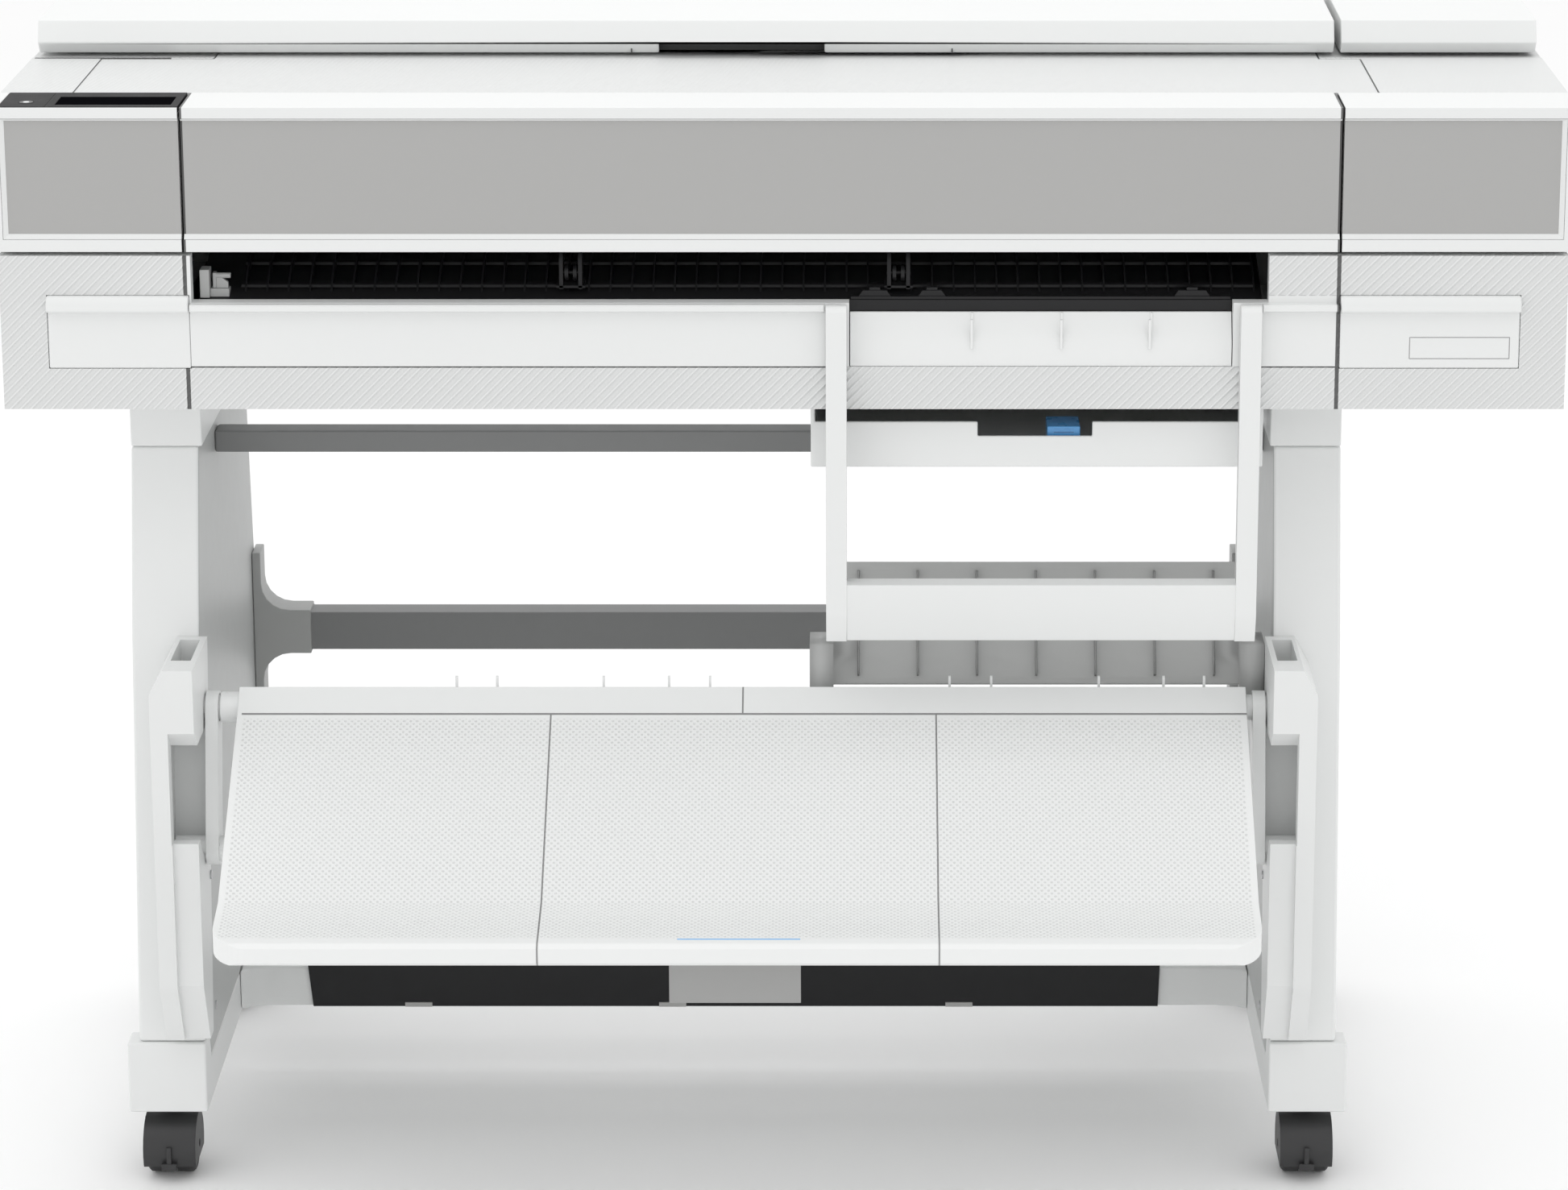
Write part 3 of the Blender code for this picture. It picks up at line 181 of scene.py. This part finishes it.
# ---- colours --------------------------------------------------------------------------------
WHITE = (0.79, 0.80, 0.795)
GREY = (0.405, 0.403, 0.396)
DARK_GREY = (0.205, 0.208, 0.208)
BLACK = (0.012, 0.012, 0.013)
# black for the seam lines and for the painted shadow strip under the roll cover
SEAM_AND_PAINTED_SHADOW_BLACK = (0.012, 0.012, 0.012)
RIDGE_PITCH = 0.0086
TOP_RIDGE_PITCH = 0.0044
DOT_PITCH = 0.0056
SMOOTH_STRIP = 0.068         # plain strip along the front of the top


def housing_ridges(g):
    """Slanting ridges on the lower body, except on its smooth centre panel; their valleys get painted
    shade.
    """
    field = g.wave(g.math("SUBTRACT", g.x, g.z), RIDGE_PITCH)
    smooth = g.area({"x": (SEAM_L, SEAM_R - 0.0585), "z": (DOOR_LOW.z + 0.0015, HOUSE_HIGH.z + 0.01)})
    sill = g.area({"x": (SEAM_R - 0.065, SEAM_R), "z": (DOOR_LOW.z + 0.0015, DOOR_HIGH.z)})
    flat = g.math("MAXIMUM", smooth, sill)
    flat = g.math("MAXIMUM", flat, g.math("GREATER_THAN", g.y, FACE + 0.004))
    flat = g.math("MAXIMUM", flat, g.math("LESS_THAN", g.y, FACE - 0.001))
    return g.math("MAXIMUM", field, flat), 0.0010, 0.30


def top_ridges(g):
    # fine ridges on the top; the last value returned is the painted shade in their valleys
    field = g.wave(g.math("ADD", g.x, g.y), TOP_RIDGE_PITCH)
    in_front = g.math("LESS_THAN", g.y, FACE + SMOOTH_STRIP)
    flat = g.math("MAXIMUM", in_front, g.math("LESS_THAN", g.z, Z_TOP - 0.002))
    return g.math("MAXIMUM", field, flat), 0.0006, 0.16


def platform_dots(g):
    """Two interleaved grids of small hollows on the sloping top, with painted shade inside them."""
    along = g.math("MULTIPLY", g.y, 1.225)
    result = 0.0

    def from_centre(value, shift):
        turns = g.math("ADD", g.math("DIVIDE", value, DOT_PITCH), shift)
        return g.math("SUBTRACT", g.math("FRACT", turns), 0.5)

    for shift in (0.0, 0.5):
        away = g.length(from_centre(g.x, shift), from_centre(along, shift))
        result = g.math("MAXIMUM", result, g.near(away, 0.0, 0.17, 0.05))
    shown = g.area({"x": (TRAY_LOW.x + 0.021, TRAY_HIGH.x - 0.005), "y": (TRAY_LOW.y + 0.011, -0.1330)})
    top = g.math("GREATER_THAN", g.z, TRAY_LOW.z + 0.019)
    shown = g.math("MULTIPLY", shown, top)
    return g.math("SUBTRACT", 1.0, g.math("MULTIPLY", result, shown)), 0.0004, 0.26


def blue_line(g, base):
    line = g.area({"x": (-0.087, 0.0145), "y": (TRAY_LOW.y + 0.0085, TRAY_LOW.y + 0.0102)})
    line = g.math("MULTIPLY", line, g.math("GREATER_THAN", g.z, TRAY_LOW.z + 0.017))
    return g.mix(line, base, (0.22, 0.50, 0.86))


def power_mark(g, base):
    x, y = -0.629, -0.134
    away = g.length(g.math("SUBTRACT", g.x, x), g.math("SUBTRACT", g.y, y))
    return g.mix(g.near(away, 0.0, 0.0026, 0.0003), base, (0.85, 0.87, 0.88))


def leg_inside_painted_shade(g, base):
    """Painted shade: grey on the inner faces of both legs, where they sit in shade."""
    left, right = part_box("leg_left")[1].x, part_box("leg_right")[0].x
    shown = g.math("MAXIMUM", g.near(g.x, left, 0.0007), g.near(g.x, right, 0.0007))
    return g.mix(shown, base, (0.47, 0.48, 0.475))


def bracket_tint(g, base):
    """Lighter end brackets on the middle beam."""
    low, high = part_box("mid_beam")
    shown = g.math("GREATER_THAN", g.math("ABSOLUTE", g.math("SUBTRACT", g.x, (low.x + high.x) / 2)),
                   (high.x - low.x) / 2 - 0.0537)
    shown = g.math("MULTIPLY", shown, g.math("GREATER_THAN", g.y, low.y - 0.01))
    return g.mix(shown, base, (0.38, 0.385, 0.38))


def blue_marks(g, base):
    lines = g.near(g.math("FRACT", g.math("DIVIDE", g.z, 0.0032)), 0.5, 0.14, 0.05)
    shown = g.area({"x": (0.2275, 0.2445), "z": (0.668, 0.683)})
    return g.mix(g.math("MULTIPLY", lines, shown), base, (0.05, 0.16, 0.36))


LINE = 0.0006
seam_marks = [
    {"x": (SEAM_L - 0.0016, SEAM_L + 0.0016), "y": (FACE - 0.02, FACE + 0.002)},
    {"x": (SEAM_R - 0.0016, SEAM_R + 0.0016), "y": (FACE - 0.02, FACE + 0.002)},
]
band_seams_and_painted_shadow = [{"x": (x - 0.0017, x + 0.0017), "y": (FACE - 0.02, FACE + 0.0665)} for x in (SEAM_L, SEAM_R)]
top_skin = (Z_TOP - 0.002, Z_TOP + 0.001)
band_seams_and_painted_shadow += [
    # painted shadow: black strip on the top under the left end of the roll cover, standing in for the shade
    # in the gap beneath it
    {"x": (-0.6560, -0.5370), "y": (0.0700, 0.0760), "z": top_skin},
    {"x": (-0.5979, -0.5967), "y": (FACE + 0.069, 0.0690), "z": top_skin},
    {"x": (0.4987, 0.4999), "y": (FACE + 0.069, 0.0690), "z": top_skin},
]
panel_edge = {"z": (DOOR_LOW.z + 0.0007, DOOR_LOW.z + 0.0017), "y": (FACE - 0.001, FACE + 0.002)}
housing_marks = seam_marks + [
    {"x": (SEAM_L, 0.040), **panel_edge},
    {"x": (0.385, SEAM_R), **panel_edge},
]
plate_x, plate_z = (0.5234, 0.6069), (0.7506, 0.7689)
plate_marks = [
    {"x": plate_x, "z": (z - LINE / 2, z + LINE / 2)} for z in plate_z
] + [{"z": plate_z, "x": (x - LINE / 2, x + LINE / 2)} for x in plate_x]
platform_marks = [
    {"x": (x - LINE, x + LINE), "y": (TRAY_LOW.y - 0.01, -0.1285)} for x in (-0.202, 0.129)
] + [
    {"x": (-0.0378, -0.0366), "y": (-0.1285, -0.05), "z": (0.4290, 0.50)},
    {"x": (TRAY_LOW.x + 0.02, TRAY_HIGH.x), "y": (-0.1294, -0.1280), "z": (0.42, 0.44)},
]

MATERIALS = {
    "body": finish("white_plastic", WHITE),
    "housing": finish("ridged_white", WHITE, ridges=housing_ridges, marks=housing_marks,
                      mark_colour=(0.015, 0.015, 0.015)),
    "lid": finish("lid_white", WHITE, ridges=top_ridges, marks=band_seams_and_painted_shadow, mark_colour=SEAM_AND_PAINTED_SHADOW_BLACK),
    "cover": finish("side_cover_white", WHITE, marks=plate_marks, mark_colour=(0.42, 0.42, 0.42)),
    "grey": finish("grey_panel", GREY, roughness=0.40, grain=0.00003, marks=band_seams_and_painted_shadow,
                   mark_colour=SEAM_AND_PAINTED_SHADOW_BLACK),
    "beam": finish("beam_grey", DARK_GREY, roughness=0.45, extra=bracket_tint),
    "black": finish("black_plastic", BLACK, roughness=0.38, shine=0.3),
    "gloss": finish("display_glass", (0.004, 0.004, 0.005), roughness=0.30, grain=0.0, shine=0.0),
    "bezel": finish("display_bezel_black", (0.020, 0.020, 0.021), roughness=0.38, shine=0.03,
                    marks=[{"x": (-0.6110, -0.6102), "y": (-0.2, 0.0)}], mark_colour=(0.002, 0.002, 0.002)),
    "button": finish("power_button_black", (0.02, 0.02, 0.02), roughness=0.3, extra=power_mark),
    "caster": finish("caster_black", (0.030, 0.030, 0.031), roughness=0.46, grain=0.00006),
    "rubber": finish("tread_rubber", (0.022, 0.022, 0.023), roughness=0.62, grain=0.00008),
    "steel": finish("steel", (0.55, 0.55, 0.56), roughness=0.30, metallic=1.0),
    "blue": finish("blue_plastic", (0.10, 0.34, 0.68), roughness=0.28, coat=0.3, extra=blue_marks),
    "leg": finish("leg_white", WHITE, extra=leg_inside_painted_shade),
    "scoop": finish("scoop_grey", (0.085, 0.087, 0.087), roughness=0.5),
    "tab": finish("tab_grey", (0.42, 0.42, 0.41)),
    "tray": finish("platform_white", (0.83, 0.84, 0.835), spots=platform_dots, marks=platform_marks,
                   mark_colour=(0.20, 0.20, 0.20), extra=blue_line),
    "chute": finish("chute_grey", (0.45, 0.455, 0.45)),
    "handle": finish("handle_grey", (0.36, 0.36, 0.355)),
    "arm": finish("arm_white", (0.77, 0.78, 0.775)),
}

# node name start -> (material, rounding)
LOOKS = {
    "lower_housing": ("housing", 0.0015), "ink_door": ("body", 0.0014), "side_cover": ("cover", 0.0014),
    "sheet_flap": ("body", 0.0006), "power_inlet": ("black", 0.0008), "upper_shell": ("lid", 0.0022),
    "display_bezel": ("bezel", 0.0006), "touch_screen": ("gloss", 0.0003),
    "power_button": ("button", 0.0004),
    "side_panel": ("grey", 0.0006), "front_cover": ("lid", 0.0015), "cover_panel": ("grey", 0.0006),
    "ink_cartridges": ("black", 0.001), "roll_bay": ("body", 0.001), "roll_spindle": ("black", 0.0008),
    "roll_cover": ("body", 0.0022), "rear_cover_right": ("body", 0.0022), "platen": ("black", 0.001),
    "feed_roller": ("rubber", 0.0008), "star_wheel_shaft": ("black", 0.0006),
    "carriage_rail": ("steel", 0.001),
    "carriage": ("black", 0.003), "drive_belt": ("rubber", 0.0), "idler_pulley": ("steel", 0.0005),
    "drive_pulley": ("steel", 0.0005), "electronics_box": ("steel", 0.001), "sheet_tray": ("body", 0.0012),
    "tray_guide": ("blue", 0.0012), "output_frame": ("body", 0.0022), "sheet_chute": ("chute", 0.0),
    "leg_cap": ("body", 0.0014), "leg_": ("leg", 0.0030), "foot": ("body", 0.0022), "arm_": ("arm", 0.0022),
    "upper_beam": ("beam", 0.0018), "mid_beam": ("beam", 0.0018), "lower_crossbar": ("body", 0.0022),
    "apron_plate": ("black", 0.0004), "upper_tube": ("body", 0.0006), "lower_tube": ("body", 0.0004),
    "stacker_platform": ("tray", 0.0022), "release_handle": ("handle", 0.0012),
    "caster_hood": ("caster", 0.0010), "caster_wheels": ("rubber", 0.0006),
    "brake_lever": ("caster", 0.0006),
}


# ---- shape helpers --------------------------------------------------------------------------
EDGE_ANGLE = math.radians(38)      # a sharper turn than this is an edge


def smooth(obj):
    for polygon in obj.data.polygons:
        polygon.use_smooth = True
    obj.data.set_sharp_from_angle(angle=EDGE_ANGLE)


def soften(obj, width, segments=3, weld=True):
    """Welds, merges flat facets, and rounds every real edge."""
    if weld:
        merge = obj.modifiers.new("weld", "WELD")
        merge.merge_threshold = 0.00001
        flat = obj.modifiers.new("flat", "DECIMATE")
        flat.decimate_type = "DISSOLVE"
        flat.angle_limit = math.radians(0.6)
    if width > 0:
        bevel = obj.modifiers.new("round", "BEVEL")
        bevel.width = width
        bevel.segments = segments
        bevel.limit_method = "ANGLE"
        bevel.angle_limit = EDGE_ANGLE
        bevel.use_clamp_overlap = True
        bevel.harden_normals = True
    normal = obj.modifiers.new("shade", "WEIGHTED_NORMAL")
    normal.keep_sharp = True
    for polygon in obj.data.polygons:
        polygon.use_smooth = True


def dress(obj, look, body):
    obj.data.materials.clear()
    obj.data.materials.append(MATERIALS[look])
    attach(obj, body)
    return obj


def new_object(name, build):
    """An object whose mesh build(bm) fills, in the shared frame."""
    bm = bmesh.new()
    build(bm)
    bmesh.ops.recalc_face_normals(bm, faces=bm.faces)
    mesh = bpy.data.meshes.new(name)
    bm.to_mesh(mesh)
    bm.free()
    obj = bpy.data.objects.new(name, mesh)
    bpy.context.scene.collection.objects.link(obj)
    return obj


def solid(name, build, look, body, width=0.0, segments=2):
    """A new visible piece, rounded by width, that rides on body."""
    obj = new_object(name, build)
    if width > 0:
        soften(obj, width, segments, weld=False)
    else:
        smooth(obj)
    return dress(obj, look, body)


AXES = {"X": (1, 2, 0), "Y": (0, 2, 1), "Z": (0, 1, 2)}


def prism_into(bm, outline, start, end, axis="X"):
    """Adds an extruded outline; the outline is in (y, z), (x, z) or (x, y)."""
    first, second, along = AXES[axis]
    rings = []
    for place in (start, end):
        ring = []
        for a, b in outline:
            co = [0.0, 0.0, 0.0]
            co[first], co[second], co[along] = a, b, place
            ring.append(bm.verts.new(co))
        rings.append(ring)
    bm.faces.new(rings[0])
    bm.faces.new(rings[1])
    count = len(outline)
    for i in range(count):
        j = (i + 1) % count
        bm.faces.new((rings[0][i], rings[0][j], rings[1][j], rings[1][i]))


def box_into(bm, low, high):
    prism_into(bm, [(low[1], low[2]), (high[1], low[2]), (high[1], high[2]), (low[1], high[2])],
               low[0], high[0], "X")


def rod_into(bm, centre, radius, length, axis="X", segments=20):
    turn = {"X": Matrix.Rotation(math.pi / 2, 4, "Y"), "Y": Matrix.Rotation(math.pi / 2, 4, "X"),
            "Z": Matrix.Identity(4)}[axis]
    bmesh.ops.create_cone(bm, cap_ends=True, segments=segments, radius1=radius, radius2=radius,
                          depth=length, matrix=Matrix.Translation(centre) @ turn)


def arc(centre, radius, start, end, steps):
    return [(centre[0] + radius * math.cos(math.radians(start + (end - start) * i / steps)),
             centre[1] + radius * math.sin(math.radians(start + (end - start) * i / steps)))
            for i in range(steps + 1)]


def cutter(name, build):
    """A hidden helper for a Boolean."""
    obj = new_object(name, build)
    obj.hide_render = True
    obj.display_type = "WIRE"
    return obj


def carve(node, name, build, operation="DIFFERENCE"):
    modifier = NODES[node].modifiers.new(name, "BOOLEAN")
    modifier.operation = operation
    modifier.solver = "EXACT"
    modifier.object = cutter(name, build)


# ---- shapes carved into CAD nodes -----------------------------------------------------------
def arm_recess(side, outer, inner):
    """Opens the arm's pocket to the front and sets its lower channel back."""
    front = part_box("arm_left")[0].y
    rim = outer - side * 0.0150

    def build(bm):
        low, high = sorted((rim, inner - side * 0.002))
        prism_into(bm, [(front - 0.01, 0.3275), (front + 0.018, 0.3275), (front + 0.018, 0.4120),
                        (front - 0.01, 0.4370)], low, high, "X")

    def channel(bm):
        low, high = sorted((rim - side * 0.0006, inner - side * 0.002))
        prism_into(bm, [(front - 0.01, 0.3290), (front - 0.01, 0.12), (front + 0.0365, 0.12),
                        (front + 0.0365, 0.136), (front + 0.0050, 0.198), (front + 0.0050, 0.3290)],
                   low, high, "X")

    word = "left" if side < 0 else "right"
    carve(f"arm_{word}", f"arm_front_{word}", build)
    carve(f"arm_{word}", f"arm_channel_{word}", channel)


arm_boxes = {"left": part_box("arm_left"), "right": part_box("arm_right")}
arm_recess(-1, arm_boxes["left"][0].x, arm_boxes["left"][1].x)
arm_recess(1, arm_boxes["right"][1].x, arm_boxes["right"][0].x)


def rounded_platform(bm):
    """Seen from above: wide at the back, with rounded corners at the lip."""
    low, high = TRAY_LOW, TRAY_HIGH
    left = low.x + 0.016
    corner = 0.028
    outline = [(low.x - 0.01, -0.140), (left, -0.1402)]
    outline += arc((left + corner, low.y + corner), corner, 180, 270, 10)
    outline += arc((high.x - corner, low.y + corner), corner, 270, 360, 10)
    outline += [(high.x, 0.0), (low.x - 0.01, 0.0)]
    prism_into(bm, outline, low.z - 0.05, high.z + 0.05, "Z")


carve("stacker_platform", "platform_corners", rounded_platform, "INTERSECT")

for node_name, obj in NODES.items():
    start = max((key for key in LOOKS if node_name.startswith(key)), key=len)
    look, width = LOOKS[start]
    obj.data.materials.clear()
    obj.data.materials.append(MATERIALS[look])
    soften(obj, width)
    if any(m.type == "BOOLEAN" for m in obj.modifiers):
        for modifier in [m for m in obj.modifiers if m.type == "BOOLEAN"]:
            obj.modifiers.move(obj.modifiers.find(modifier.name), 1)


# ---- white mouldings round the grey panels ---------------------------------------------------
def moulding(name, left, right, body, outer=None):
    """Slanted frame strips between the front face and the set-back grey panel."""
    face, back = FACE + 0.0004, PANEL_LOW.y - 0.0001
    low, high = PANEL_LOW.z, PANEL_HIGH.z
    reach = 0.0040

    def build(bm):
        prism_into(bm, [(face, high), (back, high), (back, high - reach * 0.5)], left, right, "X")
        prism_into(bm, [(face, low), (back, low), (back, low + reach)], left, right, "X")
        if outer is not None:
            inward = -math.copysign(reach, outer)
            prism_into(bm, [(outer, face), (outer, back), (outer + inward, back)], low, high, "Z")

    return solid(name, build, "body", body)


moulding("moulding_centre", SEAM_L + 0.0004, SEAM_R - 0.0004, "front_cover")
left_low, left_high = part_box("side_panel_left")
right_low, right_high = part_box("side_panel_right")
moulding("moulding_left", left_low.x, left_high.x, "machine", left_low.x)
moulding("moulding_right", right_low.x, right_high.x, "machine", right_high.x)


# ---- inside the media slot --------------------------------------------------------------------
def platen_ribs(bm):
    """Curved guide ribs standing on the platen, in two rows."""
    left, right = PLATEN_LOW.x + 0.038, PLATEN_HIGH.x - 0.006
    count = 48
    for i in range(count):
        x = left + (right - left) * i / (count - 1)
        tall = 0.0045 if i % 4 else 0.0065
        outline = [(-0.1300, 0.8020), (-0.0570, 0.8266), (-0.0570, 0.8266 + tall), (-0.0820, 0.8240 + tall),
                   (-0.1180, 0.8100 + tall * 0.6)]
        prism_into(bm, outline, x - 0.0008, x + 0.0008, "X")
    for y, z in ((-0.1250, 0.8045), (-0.0900, 0.8160)):
        prism_into(bm, [(y, z), (y + 0.003, z + 0.001), (y + 0.003, z + 0.0035), (y, z + 0.0022)],
                   left - 0.004, right, "X")


solid("platen_ribs", platen_ribs, "black", "machine")


def upper_guides(bm):
    """Row of guide fingers under the rail, and five wheel holders."""
    left, right = PLATEN_LOW.x + 0.030, PLATEN_HIGH.x - 0.004
    box_into(bm, (left, -0.092, 0.8435), (right, -0.088, 0.8600))
    count = 30
    for i in range(count):
        x = left + (right - left) * (i + 0.5) / count
        prism_into(bm, [(-0.092, 0.8590), (-0.0955, 0.8590), (-0.0960, 0.8440), (-0.0930, 0.8400),
                        (-0.0915, 0.8425)], x - 0.0045, x + 0.0045, "X")
    for x in (-0.300, -0.1800, -0.040, 0.0960, 0.250):
        prism_into(bm, [(-0.1300, 0.8600), (-0.1300, 0.8390), (-0.1240, 0.8340), (-0.1180, 0.8340),
                        (-0.1180, 0.8600)], x - 0.0075, x + 0.0075, "X")
        prism_into(bm, [(-0.1330, 0.8415), (-0.1280, 0.8415), (-0.1280, 0.8440), (-0.1330, 0.8440)],
                   x - 0.0240, x + 0.0240, "X")


solid("upper_guides", upper_guides, "black", "machine")


def star_holders(bm):
    """Two tall black holders standing in the slot, each with a pair of wheels."""
    for x in (-0.1790, 0.0960):
        for side in (-1, 1):
            middle = x + side * 0.0080
            prism_into(bm, [(-0.1340, 0.8050), (-0.1340, 0.8300), (-0.1280, 0.8385), (-0.1180, 0.8385),
                            (-0.1180, 0.8085)], middle - 0.0016, middle + 0.0016, "X")
            rod_into(bm, (x + side * 0.0035, -0.1270, 0.8180), 0.0070, 0.0030, "X", 18)
        rod_into(bm, (x, -0.1270, 0.8180), 0.0018, 0.0200, "X", 10)
        prism_into(bm, [(-0.1340, 0.8060), (-0.1180, 0.8095), (-0.1180, 0.8115), (-0.1340, 0.8080)],
                   x - 0.0120, x + 0.0120, "X")


solid("star_holders", star_holders, "black", "machine")


def sill_pads(bm):
    """Low black carriers at the edge of the small sheet mouth."""
    for x, half in ((0.0760, 0.0135), (0.1240, 0.0115), (0.3420, 0.0150)):
        prism_into(bm, [(x - half, 0.8003), (x + half, 0.8003), (x + half - 0.0035, 0.8052),
                        (x - half + 0.0035, 0.8052)], -0.1400, -0.1335, "Y")
        prism_into(bm, [(x - 0.0045, 0.8052), (x + 0.0045, 0.8052), (x + 0.0045, 0.8076),
                        (x - 0.0045, 0.8076)], -0.1390, -0.1345, "Y")
    box_into(bm, (0.0560, -0.1412, 0.7982), (0.3740, -0.1335, 0.8003))


solid("sill_pads", sill_pads, "black", "machine")


def left_bracket(bm):
    """Light bracket and latch at the slot's left end."""
    x = PLATEN_LOW.x + 0.0012
    box_into(bm, (x, -0.1405, 0.7990), (x + 0.0080, -0.1250, 0.8230))
    box_into(bm, (x + 0.0080, -0.1370, 0.7990), (x + 0.0240, -0.1250, 0.8060))
    box_into(bm, (x + 0.0100, -0.1340, 0.8060), (x + 0.0130, -0.1270, 0.8190))
    prism_into(bm, [(x + 0.0130, 0.8060), (x + 0.0230, 0.8060), (x + 0.0230, 0.8110), (x + 0.0175, 0.8150),
                    (x + 0.0130, 0.8150)], -0.1340, -0.1300, "Y")
    rod_into(bm, (x + 0.0185, -0.1320, 0.8165), 0.0024, 0.0130, "X", 12)


solid("slot_bracket", left_bracket, "chute", "machine", 0.0005)


# ---- platform fins -----------------------------------------------------------------------------
def fins(bm):
    """Thin tongues behind the platform's rear strip."""
    for x in (-0.285, -0.250, -0.158, -0.1015, -0.066, 0.141, 0.177, 0.270, 0.326, 0.361):
        tip = arc((-0.0975, 0.4515), 0.0022, 150, 20, 4)
        prism_into(bm, [(-0.1010, 0.4380), *tip, (-0.0945, 0.4380)], x - 0.0010, x + 0.0010, "X")


solid("platform_fins", fins, "tray", "stacker_platform")


# ---- recess liner, handle brackets, apron tabs --------------------------------------------------
NOTCH = (-0.1360, 0.1440)


def scoop(bm):
    """Grey bowl behind the finger recess of the roll cover."""
    front, low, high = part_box("roll_cover")[0].y + 0.0045, Z_TOP + 0.0030, Z_TOP + 0.0126
    back = front + 0.0170
    wall = 0.0012
    bowl = [(front, high + 0.0002), (back - 0.004, high + 0.0002), (back, high - 0.004), (back, low),
            (back - wall, low), (back - wall, high - 0.0045), (back - 0.0045, high - wall),
            (front, high - wall)]
    prism_into(bm, bowl, NOTCH[0], NOTCH[1], "X")
    for x in NOTCH:
        box_into(bm, (x - wall / 2, front, low), (x + wall / 2, back, high))


solid("finger_scoop", scoop, "scoop", "roll_cover")


def handle_brackets(bm):
    """Forked black brackets that carry the ends of the handle's shaft."""
    low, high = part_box("release_handle")
    z, y = high.z - 0.0048, (low.y + high.y) / 2
    bottom, top, back = z - 0.0085, z + 0.0058, y + 0.0085
    for end, side in ((low.x, -1), (high.x, 1)):
        inner = end - side * 0.0052
        cheeks = (inner - side * 0.0125, inner + side * 0.0050)
        for place in cheeks:
            box_into(bm, (place - 0.0013, y - 0.0040, bottom), (place + 0.0013, back, top))
        box_into(bm, (min(cheeks), y + 0.0060, bottom), (max(cheeks), back, top))


solid("handle_brackets", handle_brackets, "black", "stacker_platform")


def apron_tabs(bm):
    """Small light tabs along the lower edge of the apron."""
    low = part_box("apron_plate")[0]
    for x in (-0.345, -0.110, 0.155):
        box_into(bm, (x - 0.0125, low.y - 0.0012, low.z), (x + 0.0125, low.y + 0.0004, low.z + 0.0042))


solid("apron_tabs", apron_tabs, "tab", "machine")


def flap_ribs(bm):
    """Three thin upright ribs on the small sheet flap."""
    low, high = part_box("sheet_flap")
    for x in (0.157, 0.232, 0.306):
        prism_into(bm, [(low.y - 0.0022, low.z + 0.0150), (low.y + 0.0020, low.z + 0.0150),
                        (low.y + 0.0020, high.z - 0.0040), (low.y - 0.0012, high.z - 0.0040)],
                   x - 0.0011, x + 0.0011, "X")


solid("flap_ribs", flap_ribs, "body", "sheet_flap", 0.0004)


# ---- screws ------------------------------------------------------------------------------------
def screws(places, radius=0.0040):
    """Round heads with a cross recess, facing along X; places are (x, y, z, direction)."""

    def build(bm):
        for x, y, z, direction in places:
            rod_into(bm, (x + direction * 0.0007, y, z), radius, 0.0014, "X", 16)
            near, far = sorted((x + direction * 0.0013, x + direction * 0.0016))
            for wide, tall in ((0.0022, 0.0005), (0.0005, 0.0022)):
                box_into(bm, (near, y - wide, z - tall), (far, y + wide, z + tall))

    return build


inner_left, inner_right = arm_boxes["left"][1].x, arm_boxes["right"][0].x
solid("arm_screws", screws([(inner_left, -0.112, z, 1) for z in (0.2770, 0.1560)]
                           + [(inner_right, -0.112, z, -1) for z in (0.2770, 0.1560)]),
      "steel", "machine")


# ---- power inlet pins --------------------------------------------------------------------------
def inlet_pins(bm):
    low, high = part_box("power_inlet")
    middle = (low + high) / 2
    for dx, dz in ((-0.0055, -0.0018), (0.0055, -0.0018), (0.0, 0.0022)):
        box_into(bm, (middle.x + dx - 0.0009, low.y + 0.003, middle.z + dz - 0.0022),
                 (middle.x + dx + 0.0009, high.y - 0.005, middle.z + dz + 0.0022))


solid("inlet_pins", inlet_pins, "steel", "machine")

# ---- floor, lights and camera ------------------------------------------------------------------
floor_mesh = bpy.data.meshes.new("floor")
bm = bmesh.new()
bmesh.ops.create_grid(bm, x_segments=8, y_segments=8, size=9.0)
bm.to_mesh(floor_mesh)
bm.free()
floor = bpy.data.objects.new("floor", floor_mesh)
floor.location = (0.0, 0.0, -0.0006)
bpy.context.scene.collection.objects.link(floor)
paper = Graph("floor_paper")
tone = paper.mix(paper.noise(1.5, 3.0), (0.955, 0.955, 0.955), (0.975, 0.975, 0.975))
paper.link(tone, paper.shader.inputs["Base Color"])
paper.shader.inputs["Roughness"].default_value = 0.9
floor_mesh.materials.append(paper.material)

bpy.context.scene.view_settings.view_transform = "Standard"
world = bpy.data.worlds.new("studio")
bpy.context.scene.world = world
world.use_nodes = True
background = world.node_tree.nodes["Background"]
background.inputs["Color"].default_value = (1.0, 1.0, 1.0, 1.0)
background.inputs["Strength"].default_value = 1.0


def lamp(name, place, target, size, power):
    light = bpy.data.lights.new(name, "AREA")
    light.shape = "RECTANGLE"
    light.size, light.size_y = size
    light.energy = power
    obj = bpy.data.objects.new(name, light)
    obj.location = place
    obj.rotation_euler = (Vector(target) - Vector(place)).to_track_quat("-Z", "Y").to_euler()
    bpy.context.scene.collection.objects.link(obj)


lamp("key", (-0.6, -1.6, 3.2), (0.0, 0.0, 0.6), (3.0, 1.6), 9.0)
lamp("top", (0.0, 0.4, 3.0), (0.0, 0.0, 0.8), (3.4, 1.6), 11.0)

CAMERA_PITCH = 0.2518              # radians below level

camera_data = bpy.data.cameras.new("camera")
camera_data.lens = 110.81
camera_data.shift_x = -0.0501
camera_data.shift_y = -0.12
camera_data.clip_start = 0.1
camera_data.clip_end = 60.0
camera = bpy.data.objects.new("camera", camera_data)
camera.location = (0.0658, -4.080, 1.7182)
camera.rotation_euler = (math.pi / 2 - CAMERA_PITCH, 0.0, 0.0)
bpy.context.scene.collection.objects.link(camera)
bpy.context.scene.camera = camera
